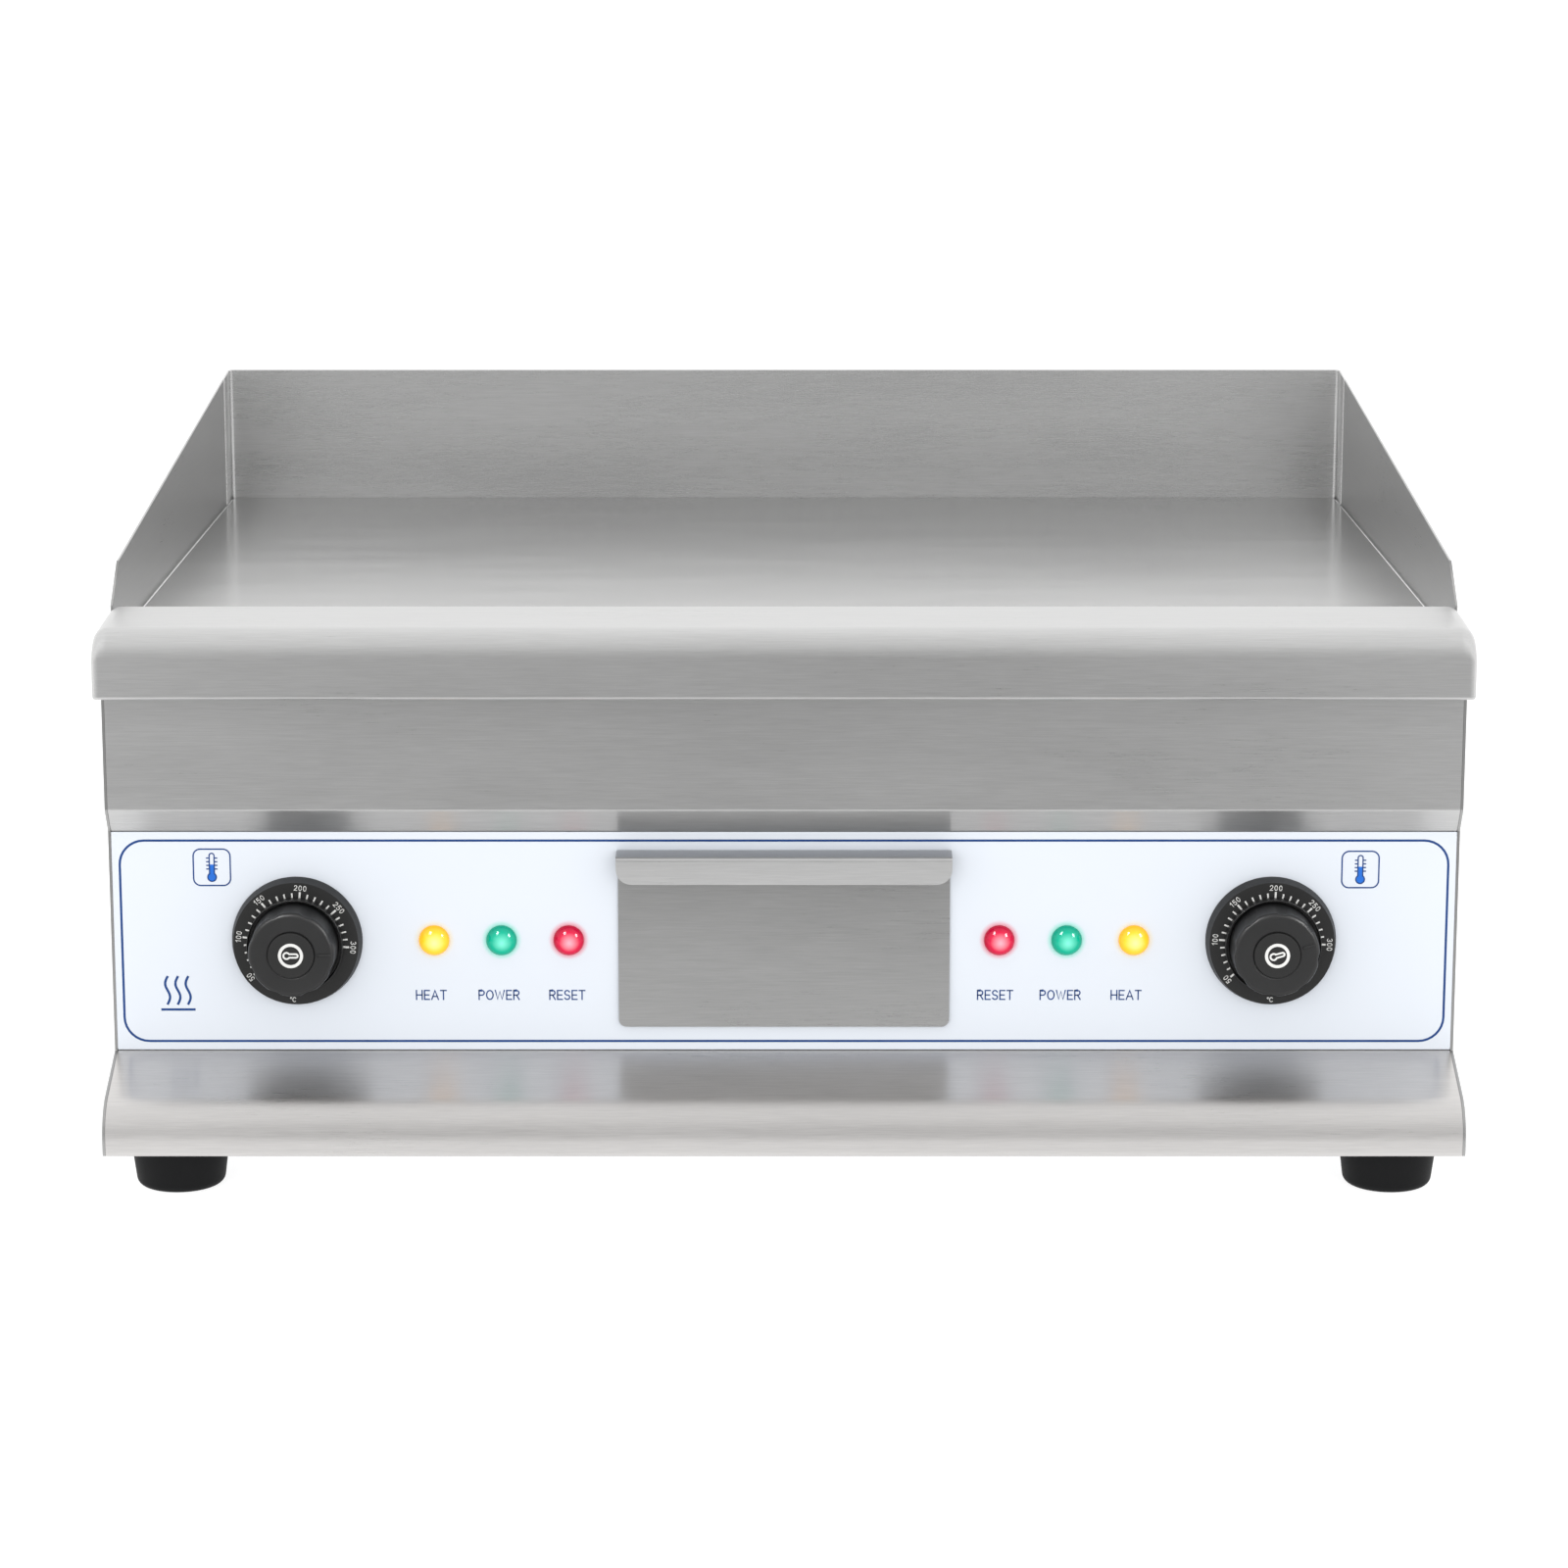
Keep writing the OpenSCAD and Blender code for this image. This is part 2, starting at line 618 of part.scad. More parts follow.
// Capillary thermostat: mounting plate, switch box, and tab terminals on its back
module thermostat() facing_front(knob_x, tongue_y, control_z) difference() {
    union() {
        translate([-thermostat_plate[0] / 2, -thermostat_plate[1] / 2, -thermostat_plate[2]])
            cube(thermostat_plate);
        translate([-thermostat_box[0] / 2, -thermostat_box[1] / 2, -26]) cube(thermostat_box);
        for (x = [-12, -4, 4]) translate([x, -8, -33]) cube(tab);
    }
    translate([0, 0, -20]) cylinder(r = shaft_r + thread_gap, h = 25);
    for (side = [-1, 1]) translate([side * dial_screw_x, 0, -12]) cylinder(r = screw_r + 0.04, h = 13);
}

module thermostat_left() color("#c8c4b4") from_nose() left_side() thermostat();
module thermostat_right() color("#c8c4b4") from_nose() thermostat();

module bulb(x, y0, y1) facing_back(x, y0, bulb_z) cylinder(r = bulb_r, h = y1 - y0);

module thermostat_probes() color("#b87333") from_nose() both_sides() {
    bulb(probe_x, 200, 320);
    cord(thermostat_route, 1.1);
}

module limiter_probes() color("#b87333") from_nose() both_sides() {
    bulb(limiter_probe_x, 150, 250);
    cord(limiter_route, 1.1);
}

// Safety limiter behind the back panel, with a guide for its reset button
module limiter() facing_back(reset_x, rear_y, reset_z) difference() {
    translate([-limiter_box[0] / 2, -20, -26]) cube(limiter_box);
    translate([0, 0, -14]) cylinder(r = button_r + bolt_gap, h = 14);
}

module limiter_left() color("#c8c4b4") from_nose() left_side() limiter();
module limiter_right() color("#c8c4b4") from_nose() limiter();

module reset_button(x) facing_back(x, rear_y, reset_z)
    rotate_extrude() polygon([[0, -10.5], [button_r, -10.5], [button_r, 7], [button_r - 0.8, 8], [0, 8]]);

module reset_button_left() color("#c0392b") from_nose() reset_button(-reset_x);
module reset_button_right() color("#c0392b") from_nose() reset_button(reset_x);

// ---------------------------------------------------------------------------
// Pilot lamps

dome_h = 3.6;
dome_r = (lens_r * lens_r + dome_h * dome_h) / (2 * dome_h);
dome_points = [for (k = [0:8]) let(a = asin(lens_r / dome_r) * (1 - k / 8))
    [dome_r * sin(a), 1 + dome_h - dome_r + dome_r * cos(a)]];

module lens(x) from_nose() facing_front(x, overlay_y, control_z)
    rotate_extrude() polygon(concat([[0, -3], [lamp_hole_r - 0.1, -3], [lamp_hole_r - 0.1, 0],
        [lens_r, 0]], dome_points));

module lens_heat_left() color("#f2b632") lens(-lamp_x[2]);
module lens_power_left() color("#1fa67a") lens(-lamp_x[1]);
module lens_reset_left() color("#d8304f") lens(-lamp_x[0]);
module lens_reset_right() color("#d8304f") lens(lamp_x[0]);
module lens_power_right() color("#1fa67a") lens(lamp_x[1]);
module lens_heat_right() color("#f2b632") lens(lamp_x[2]);

module lamp_bodies() color("#dedcd2") from_nose() both_sides() for (x = lamp_x)
    facing_front(x, tongue_y, control_z) {
        difference() {
            translate([0, 0, -lamp_nut_h]) cylinder(r = lamp_nut_r, h = lamp_nut_h);
            translate([0, 0, -2]) cylinder(r = lamp_hole_r, h = 2 + cut);
        }
        translate([0, 0, -lamp_nut_h - lamp_body_l + 0.5]) cylinder(r = lamp_body_r, h = lamp_body_l);
        for (y = [-3, 3]) translate([-2.4, y - 0.4, -33]) cube([4.8, 0.8, 8]);
    }

// ---------------------------------------------------------------------------
// Heating zones

module half_ring(r) rotate_extrude(angle = 180) translate([r, 0]) circle(r = tube_r);
module quarter_ring(r) rotate_extrude(angle = 90) translate([r, 0]) circle(r = tube_r);

// One tube in six runs, with both ends turned down at the front
module heating_element() {
    elbow_r = 12;
    end_z = 178;
    for (x = run_x)
        facing_back(x, run_y[0], tube_z) cylinder(r = tube_r, h = run_y[1] - run_y[0]);
    for (k = [0, 2, 4])
        translate([run_x[k] + run_r, run_y[1], tube_z]) half_ring(run_r);
    for (k = [1, 3])
        translate([run_x[k] + run_r, run_y[0], tube_z]) rotate([0, 0, 180]) half_ring(run_r);
    for (x = [run_x[0], run_x[5]]) {
        translate([x, run_y[0], tube_z - elbow_r]) rotate([90, 0, -90]) quarter_ring(elbow_r);
        translate([x, run_y[0] - elbow_r, end_z]) cylinder(r = tube_r, h = tube_z - elbow_r - end_z);
    }
}

module heating_element_left() color("#6a6560") from_nose() left_side() heating_element();
module heating_element_right() color("#6a6560") from_nose() heating_element();

module element_clamps() color("#a0a09e") from_nose() both_sides() for (y = bar_y) difference() {
    slab([28, 278], [y - 10, y + 10], [bar_z, bar_z + bar_t]);
    for (x = stud_x) translate([x, y, bar_z - 1]) cylinder(r = stud_r + bolt_gap, h = 4);
}

// Studs under the plate with their nuts
module clamp_fasteners() color("#b8b6a8") from_nose() both_sides() for (x = stud_x, y = bar_y)
    translate([x, y, 0]) {
        translate([0, 0, bar_z - 9]) cylinder(r = stud_r, h = plate_top - plate_t - bar_z + 9);
        translate([0, 0, bar_z - nut_h]) nut(stud_r);
    }

// Holes for the ends of the elements
module element_passages(z, height) both_sides() for (x = [run_x[0], run_x[5]])
    translate([x, run_y[0] - 12, z]) cylinder(r = tube_r + 1.5, h = height);

module insulation_mat() color("#d8cfae") from_nose() difference() {
    slab([-281, 281], [shield_y[0] + 3, shield_y[1] - 5], [shield_z + sheet_t, mat_top_z]);
    element_passages(shield_z, 30);
}

// Tray under the insulation, hung from the side flanges
module heat_shield() color("#a5a5a3") from_nose() difference() {
    rim_z = deck_z - 2 * sheet_t;
    rim_x = inner_half - 2;
    wall_x = inner_half - 15;
    path = [[-rim_x, rim_z], [-wall_x, rim_z, 2], [-wall_x, shield_z, 2], [wall_x, shield_z, 2],
        [wall_x, rim_z, 2], [rim_x, rim_z]];
    translate([0, shield_y[1], 0]) rotate([90, 0, 0]) linear_extrude(shield_y[1] - shield_y[0])
        polygon(sheet_section(path, sheet_t));
    element_passages(shield_z - 5, 30);
}

// ---------------------------------------------------------------------------
// Wiring and back connections

module wiring_loom() color("#b03a2e") from_nose() {
    cord(supply_wire_route, 2);
    cord(cross_wire_route, 2);
    both_sides() {
        cord(element_wire_route, 1.6);
    }
    cord(return_wire_route, 1.6);
}

module terminal_block() color("#ece8da") from_nose() translate([200, 460, floor_z]) difference() {
    union() {
        translate([-30, -12, 0]) cube([60, 24, 9]);
        for (k = [-2:2]) translate([k * 11.5 - 4.6, -12, 8.9]) cube([9.2, 24, 9]);
    }
    for (k = [-2:2]) translate([k * 11.5, -6, 10]) cylinder(r = 2.4, h = 10);
}

// Cord gland with its dome, hexagon, thread and inner nut
module cable_gland() color("#333435") from_nose() facing_back(gland_x, body_d, gland_z) {
    difference() {
        union() {
            cylinder(r = 13, h = 7, $fn = 6);
            rotate_extrude() polygon([[0, 6.9], [11.5, 6.9], [11.5, 13], [10.6, 17], [8.6, gland_out],
                [0, gland_out]]);
            translate([0, 0, -10]) cylinder(r = gland_r, h = 10.1);
        }
        translate([0, 0, -12]) cylinder(r = cord_r, h = gland_out + 14);
    }
    translate([0, 0, -sheet_t - 5]) difference() {
        cylinder(r = 13, h = 5, $fn = 6);
        translate([0, 0, -1]) cylinder(r = gland_r + thread_gap, h = 7);
    }
}

// Bonding stud with a nut and a washer on both sides of the panel. It is drawn at its
// thread's core radius inside the nuts and at its full radius on its free end.
module bonding_terminal() color("#c9c2a4") from_nose() facing_back(bond_x, body_d, bond_z) {
    core_r = bolt_r - 0.5;
    translate([0, 0, -12]) cylinder(r = core_r, h = 18.3);
    translate([0, 0, bond_free_from]) cylinder(r = bolt_r, h = bond_free_l);
    for (z = [0.1, -sheet_t - 6.1]) translate([0, 0, z]) difference() {
        union() {
            translate([0, 0, z > 0 ? 0 : 5]) cylinder(r = 6, h = 1);
            translate([0, 0, z > 0 ? 0.9 : 0]) cylinder(r = nut_r, h = nut_h + 0.1, $fn = 6);
        }
        translate([0, 0, -1]) cylinder(r = core_r + thread_gap, h = 9);
    }
}

// ---------------------------------------------------------------------------
// Feet and screws

edge_points = [for (k = [0:6]) [foot_bottom_r - 3 + 3 * sin(15 * k), 3 - 3 * cos(15 * k)]];

// Tapered rubber foot with a recess for its bolt
module foot(x, y) from_nose() translate([x, y, 0]) rotate_extrude()
    polygon(concat([[6, 0]], edge_points, [[foot_top_r - 0.6, foot_h - 1], [foot_top_r, foot_h],
        [bolt_r + bolt_gap, foot_h], [bolt_r + bolt_gap, foot_recess_z], [6, foot_recess_z]]));

module foot_front_left() color("#262729") foot(-foot_x, foot_y[0]);
module foot_front_right() color("#262729") foot(foot_x, foot_y[0]);
module foot_rear_left() color("#262729") foot(-foot_x, foot_y[1]);
module foot_rear_right() color("#262729") foot(foot_x, foot_y[1]);

module pan_screw(r, head_r, head_h, length) {
    difference() {
        rotate_extrude() polygon([[0, 0], [head_r, 0], [head_r - 0.3, head_h * 0.6],
            [head_r * 0.7, head_h], [0, head_h]]);
        translate([0, 0, head_h - 1]) cylinder(r = head_r * 0.45, h = 2, $fn = 6);
    }
    translate([0, 0, -length]) cylinder(r = r, h = length);
}

// Foot bolts with their nuts on the bottom plate
module foot_fasteners() color("#b8b6a8") from_nose() both_sides() for (y = foot_y)
    translate([foot_x, y, 0]) {
        translate([0, 0, foot_recess_z]) rotate([180, 0, 0]) pan_screw(bolt_r, 5.4, 3.5, 26);
        translate([0, 0, floor_z]) nut(bolt_r);
    }

module body_screws() color("#b8b6a8") from_nose() both_sides() {
    for (z = back_screw_z) facing_back(screw_x, body_d, z) pan_screw(screw_r, 3.8, 2.2, 7);
    for (y = base_screw_y) translate([screw_x, y, foot_h]) rotate([180, 0, 0])
        pan_screw(screw_r, 3.8, 2.2, 7);
}

griddle_plate();
splash_back();
splash_left();
splash_right();
grease_trough();
drain_spout();
front_lip();
front_apron();
control_panel();
panel_overlay();
base_nose();
side_panel_left();
side_panel_right();
back_panel();
bottom_plate();
drawer_tray();
drawer_front();
drawer_runner_left();
drawer_runner_right();
dial_left();
dial_right();
dial_screws();
knob_left();
knob_right();
knob_cap_left();
knob_cap_right();
knob_shaft_left();
knob_shaft_right();
thermostat_left();
thermostat_right();
thermostat_probes();
limiter_left();
limiter_right();
limiter_probes();
reset_button_left();
reset_button_right();
lens_heat_left();
lens_power_left();
lens_reset_left();
lens_reset_right();
lens_power_right();
lens_heat_right();
lamp_bodies();
heating_element_left();
heating_element_right();
element_clamps();
clamp_fasteners();
insulation_mat();
heat_shield();
wiring_loom();
terminal_block();
cable_gland();
bonding_terminal();
foot_front_left();
foot_front_right();
foot_rear_left();
foot_rear_right();
foot_fasteners();
body_screws();
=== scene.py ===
"""Looks of a flat top electric griddle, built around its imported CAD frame.

The frame is in metres: +X right, +Y to the back, +Z up. Shapes here are written in
millimetres of the same frame and turned into metres when their mesh is made.
"""

import json
import math

import bmesh
import bpy
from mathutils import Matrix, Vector

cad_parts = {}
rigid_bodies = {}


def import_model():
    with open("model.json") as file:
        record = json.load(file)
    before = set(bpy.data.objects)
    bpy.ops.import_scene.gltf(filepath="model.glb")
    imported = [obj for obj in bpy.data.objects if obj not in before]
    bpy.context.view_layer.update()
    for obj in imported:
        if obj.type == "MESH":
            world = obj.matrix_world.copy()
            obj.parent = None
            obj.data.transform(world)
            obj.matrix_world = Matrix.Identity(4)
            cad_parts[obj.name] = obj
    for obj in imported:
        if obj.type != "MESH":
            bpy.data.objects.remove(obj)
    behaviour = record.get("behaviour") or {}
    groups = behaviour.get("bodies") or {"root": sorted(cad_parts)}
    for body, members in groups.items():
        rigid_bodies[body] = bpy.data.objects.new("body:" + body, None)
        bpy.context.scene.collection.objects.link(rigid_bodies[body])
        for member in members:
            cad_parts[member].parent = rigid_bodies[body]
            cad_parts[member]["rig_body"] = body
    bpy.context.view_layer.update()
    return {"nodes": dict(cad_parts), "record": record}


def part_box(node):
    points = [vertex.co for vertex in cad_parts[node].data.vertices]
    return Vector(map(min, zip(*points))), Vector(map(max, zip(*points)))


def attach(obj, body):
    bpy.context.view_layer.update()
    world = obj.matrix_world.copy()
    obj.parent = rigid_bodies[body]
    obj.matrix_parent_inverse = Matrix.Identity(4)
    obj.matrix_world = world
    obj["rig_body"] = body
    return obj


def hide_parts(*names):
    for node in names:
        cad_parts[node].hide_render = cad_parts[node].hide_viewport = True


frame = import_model()

MM = 0.001


# ---------------------------------------------------------------------------
# Measures taken from the frame


def span(node):
    """Lowest and highest millimetre of a CAD node along X, Y and Z."""
    low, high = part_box(node)
    return [(low[axis] / MM, high[axis] / MM) for axis in range(3)]


def middle(limits):
    """Halfway between a pair of limits."""
    return (limits[0] + limits[1]) / 2


SIDES = {"left": -1, "right": 1}
# How far each knob's pointer stands clockwise from straight up, in degrees
POINTER = {"left": 90, "right": 74}
FILM_X, FILM_Y, FILM_Z = span("panel_overlay")
FILM_FRONT = FILM_Y[0]


# ---------------------------------------------------------------------------
# Meshes


def new_piece(name, bm, body, material, replaces=(), sharp_angle=None):
    """Turns a bmesh drawn in millimetres into a smooth-shaded piece that rides on a body.

    With a sharp_angle, in degrees, edges that turn more than that stay sharp.
    """
    bmesh.ops.scale(bm, vec=(MM, MM, MM), verts=bm.verts)
    mesh = bpy.data.meshes.new(name)
    bm.to_mesh(mesh)
    bm.free()
    piece = bpy.data.objects.new(name, mesh)
    bpy.context.scene.collection.objects.link(piece)
    mesh.materials.append(material)
    mesh.shade_smooth()
    if sharp_angle:
        mesh.set_sharp_from_angle(angle=math.radians(sharp_angle))
    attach(piece, body)
    if replaces:
        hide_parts(*replaces)
    return piece


def bake_modifiers(piece, sharp_angle=35):
    """Applies the piece's modifiers, then keeps edges above an angle sharp and flat faces flat."""
    graph = bpy.context.evaluated_depsgraph_get()
    mesh = bpy.data.meshes.new_from_object(piece.evaluated_get(graph))
    piece.modifiers.clear()
    piece.data = mesh
    mesh.shade_smooth()
    mesh.set_sharp_from_angle(angle=math.radians(sharp_angle))
    weighted = piece.modifiers.new("flat_faces", "WEIGHTED_NORMAL")
    weighted.keep_sharp = True
    weighted.weight = 100


def bevel(piece, width, segments=2, angle=40):
    """Adds a bevel, width in millimetres, on edges that turn more than an angle in degrees."""
    edge = piece.modifiers.new("edges", "BEVEL")
    edge.width = width * MM
    edge.segments = segments
    edge.limit_method = "ANGLE"
    edge.angle_limit = math.radians(angle)
    edge.miter_outer = "MITER_ARC"
    edge.use_clamp_overlap = True


def softened(node, width, material):
    """A copy of a CAD node with its edges eased, to stand in its place."""
    source = frame["nodes"][node]
    bm = bmesh.new()
    bm.from_mesh(source.data)
    bmesh.ops.remove_doubles(bm, verts=bm.verts, dist=1e-6)
    bmesh.ops.dissolve_limit(bm, angle_limit=math.radians(0.5), verts=bm.verts, edges=bm.edges)
    bmesh.ops.scale(bm, vec=(1 / MM,) * 3, verts=bm.verts)
    piece = new_piece(node + "_finished", bm, source["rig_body"], material, [node])
    bevel(piece, width)
    bake_modifiers(piece)
    return piece


def corner(a, b, c, radius, steps):
    """Arc that rounds the corner at b between a and c."""
    a, b, c = Vector(a), Vector(b), Vector(c)
    if radius <= 0:
        return [b]
    to_a, to_c = (a - b).normalized(), (c - b).normalized()
    half = to_a.angle(to_c) / 2
    centre = b + (to_a + to_c).normalized() * radius / math.sin(half)
    start = b + to_a * radius / math.tan(half) - centre
    sweep = start.angle_signed(b + to_c * radius / math.tan(half) - centre)
    return [centre + Vector((start.x * math.cos(t) + start.y * math.sin(t),
                             start.y * math.cos(t) - start.x * math.sin(t)))
            for t in (sweep * k / steps for k in range(steps + 1))]


def rounded_path(path, steps=12):
    """Open path of (across, up, radius) with its corners turned into arcs."""
    points = [Vector(p[:2]) for p in path]
    inner = [corner(points[i - 1], points[i], points[i + 1], path[i][2], steps)
             for i in range(1, len(path) - 1)]
    return [points[0]] + [p for arc in inner for p in arc] + [points[-1]]


def loft(bm, rows, closed=False):
    """Quads between rows of points; returns the rows of vertices."""
    grid = [[bm.verts.new(p) for p in row] for row in rows]
    for low, high in zip(grid, grid[1:]):
        count = len(low)
        for i in range(count if closed else count - 1):
            j = (i + 1) % count
            bm.faces.new((low[i], low[j], high[j], high[i]))
    return grid


def facing_front(x, y, z):
    """Places local (right, up, out) points on a face that looks to the front."""
    return lambda a, b, out: (x + a, y - out, z + b)


def lathe(bm, profile, place, steps=72, shaped=None):
    """Surface of revolution of (radius, out) points; ends on the axis become single points.

    shaped(radius, out, angle) may change the radius on the way round.
    """
    rings = []
    for radius, out in profile:
        if radius < 1e-6:
            rings.append([bm.verts.new(place(0, 0, out))])
            continue
        ring = []
        for k in range(steps):
            angle = 2 * math.pi * k / steps
            reach = shaped(radius, out, angle) if shaped else radius
            ring.append(bm.verts.new(place(reach * math.cos(angle), reach * math.sin(angle), out)))
        rings.append(ring)
    for low, high in zip(rings, rings[1:]):
        for i in range(steps):
            j = (i + 1) % steps
            patch = (low[i % len(low)], low[j % len(low)], high[j % len(high)], high[i % len(high)])
            bm.faces.new(list(dict.fromkeys(patch)))
    bmesh.ops.recalc_face_normals(bm, faces=bm.faces)


# ---------------------------------------------------------------------------
# Materials


def add(tree, kind, settings=None, **inputs):
    """Adds a shader node, with settings for its menus and inputs given by socket name."""
    made = tree.nodes.new("ShaderNode" + kind)
    for key, value in (settings or {}).items():
        setattr(made, key, value)
    for key, value in inputs.items():
        connect(tree, made.inputs[key.replace("_", " ")], value)
    return made


def connect(tree, socket, value):
    """Links a socket into another, or sets its plain value."""
    if isinstance(value, bpy.types.NodeSocket):
        tree.links.new(value, socket)
    else:
        socket.default_value = value


def calc(tree, operation, *values):
    """Result of a maths node on sockets or plain numbers."""
    made = tree.nodes.new("ShaderNodeMath")
    made.operation = operation
    for socket, value in zip(made.inputs, values):
        connect(tree, socket, value)
    return made.outputs[0]


def stretch(tree, scales):
    """Object coordinates in metres, multiplied along each axis."""
    coords = add(tree, "TexCoord")
    return add(tree, "Mapping", Vector=coords.outputs["Object"], Scale=scales).outputs[0]


def brushed(tree, grain, along, across):
    """Object coordinates with so many units a metre along the brushing and across it."""
    return stretch(tree, [along if axis == grain else across for axis in "XYZ"])


def noise(tree, vector, detail=2.0, roughness=0.5):
    """Noise with cells one unit wide in the given coordinates."""
    return add(tree, "TexNoise", Vector=vector, Scale=1.0, Detail=detail,
               Roughness=roughness).outputs["Fac"]


def between(tree, factor, low, high):
    """Maps a noise's usual range, about 0.3 to 0.7, onto low to high."""
    return add(tree, "MapRange", Value=factor, From_Min=0.3, From_Max=0.7, To_Min=low,
               To_Max=high).outputs[0]


def fade(tree, value, start, stop, first, last):
    """Smooth change from first to last while a value goes from start to stop."""
    return add(tree, "MapRange", {"interpolation_type": "SMOOTHSTEP"}, Value=value, From_Min=start,
               From_Max=stop, To_Min=first, To_Max=last).outputs[0]


def start_material(name, **values):
    """A new material with values on its main shader; returns it with its tree and shader."""
    material = bpy.data.materials.new(name)
    material.use_nodes = True
    shader = material.node_tree.nodes["Principled BSDF"]
    for key, value in values.items():
        connect(material.node_tree, shader.inputs[key.replace("_", " ")], value)
    return material, material.node_tree, shader


def shade(tree, color, factor):
    """A colour made lighter or darker by a factor."""
    scaled = tree.nodes.new("ShaderNodeVectorMath")
    scaled.operation = "SCALE"
    scaled.inputs[0].default_value = color
    connect(tree, scaled.inputs["Scale"], factor)
    return scaled.outputs[0]


def brushed_steel(name, grain, color, roughness=0.30, anisotropy=0.85, contrast=1.0):
    """Steel brushed along one axis: fine streaks, slow cloudy variation and stretched gloss."""
    material, tree, shader = start_material(name, Metallic=1.0, Anisotropic=anisotropy)
    streaks = noise(tree, brushed(tree, grain, 70.0, 2400.0), detail=3.0, roughness=0.6)
    long_streaks = noise(tree, brushed(tree, grain, 22.0, 900.0))
    clouds = noise(tree, brushed(tree, grain, 9.0, 38.0))
    fine, coarse = 0.06 * contrast, 0.018 * contrast
    tone = calc(tree, "MULTIPLY", between(tree, streaks, 1 - fine, 1 + fine),
                between(tree, long_streaks, 1 - coarse, 1 + coarse))
    tone = calc(tree, "MULTIPLY", tone, between(tree, clouds, 0.975, 1.025))
    connect(tree, shader.inputs["Base Color"], shade(tree, color, tone))
    wander = calc(tree, "MULTIPLY", between(tree, streaks, 0.93, 1.07), between(tree, clouds, 0.95, 1.05))
    connect(tree, shader.inputs["Roughness"], calc(tree, "MULTIPLY", wander, roughness))
    tangent = add(tree, "Tangent", {"direction_type": "RADIAL", "axis": grain})
    connect(tree, shader.inputs["Tangent"], tangent.outputs[0])
    bump = add(tree, "Bump", Height=streaks, Strength=0.08, Distance=0.00003)
    connect(tree, shader.inputs["Normal"], bump.outputs[0])
    return material


def moulded(name, color, roughness, grain_size, depth, specular=0.5, metallic=0.0, mottle=0.06):
    """Plastic, rubber, coating or cast surface with a fine grain."""
    material, tree, shader = start_material(name, Metallic=metallic, Specular_IOR_Level=specular)
    coords = stretch(tree, (1 / (grain_size * MM),) * 3)
    grain = noise(tree, coords, detail=2.0)
    clouds = noise(tree, stretch(tree, (60.0,) * 3), detail=3.0)
    connect(tree, shader.inputs["Base Color"],
            shade(tree, color, between(tree, clouds, 1 - mottle, 1 + mottle)))
    rough = calc(tree, "MULTIPLY", between(tree, grain, 0.92, 1.08), between(tree, clouds, 0.95, 1.05))
    connect(tree, shader.inputs["Roughness"], calc(tree, "MULTIPLY", rough, roughness))
    bump = add(tree, "Bump", Height=grain, Strength=0.35, Distance=depth * MM)
    connect(tree, shader.inputs["Normal"], bump.outputs[0])
    return material


def distance_from(tree, x, z):
    """Distance in millimetres from a line along Y through x, z."""
    coords = add(tree, "SeparateXYZ", Vector=stretch(tree, (1 / MM,) * 3))
    square_x = calc(tree, "POWER", calc(tree, "SUBTRACT", coords.outputs["X"], x), 2.0)
    square_z = calc(tree, "POWER", calc(tree, "SUBTRACT", coords.outputs["Z"], z), 2.0)
    return calc(tree, "SQRT", calc(tree, "ADD", square_x, square_z))


# The lamps from each side inwards, the glow each paints on the film round its lens, and the shades of its
# lens
LAMPS = [("heat", "yellow"), ("power", "green"), ("reset", "red")]
PAINTED_LAMP_GLOW = {"yellow": (0.61, 0.58, 0.46), "green": (0.27, 0.60, 0.53), "red": (0.62, 0.28, 0.34)}
LENS = {
    "yellow": {"centre": (1.0, 0.86, 0.46), "body": (0.90, 0.50, 0.03), "rim": (0.62, 0.26, 0.01)},
    "green": {"centre": (0.30, 0.92, 0.74), "body": (0.0, 0.36, 0.22), "rim": (0.0, 0.17, 0.11)},
    "red": {"centre": (1.0, 0.58, 0.66), "body": (0.62, 0.012, 0.06), "rim": (0.24, 0.0, 0.016)},
}
FILM_WHITE = (0.56, 0.592, 0.64, 1)
# How far each lamp's painted glow spreads over the film
PAINTED_GLOW_REACH = 2.6


def lamp_nodes():
    """Each lens's node with its colour."""
    return [(f"lens_{lamp}_{side}", color) for side in SIDES for lamp, color in LAMPS]


def film_material():
    """White printed film, with a painted glow in each lamp's colour round its lens."""
    material, tree, shader = start_material("panel_film", Roughness=0.3, Coat_Weight=0.25,
                                            Coat_Roughness=0.12, Specular_IOR_Level=0.4)
    color = None
    for node, glow in lamp_nodes():
        x, _, z = span(node)
        lens_r = (x[1] - x[0]) / 2
        # Painted glow: near each lens the film's colour turns towards that lamp's colour
        painted_glow = fade(tree, distance_from(tree, middle(x), middle(z)), lens_r, lens_r + PAINTED_GLOW_REACH, 0.9, 0.0)
        mix = tree.nodes.new("ShaderNodeMix")
        mix.data_type = "RGBA"
        connect(tree, mix.inputs["Factor"], painted_glow)
        # A mix node's colours go in at sockets 6 and 7 and come out at 2
        connect(tree, mix.inputs[6], color or FILM_WHITE)
        connect(tree, mix.inputs[7], (*PAINTED_LAMP_GLOW[glow], 1))
        color = mix.outputs[2]
    connect(tree, shader.inputs["Base Color"], color)
    peel = noise(tree, stretch(tree, (500.0,) * 3), detail=1.0)
    bump = add(tree, "Bump", Height=peel, Strength=0.1, Distance=0.00002)
    connect(tree, shader.inputs["Normal"], bump.outputs[0])
    return material


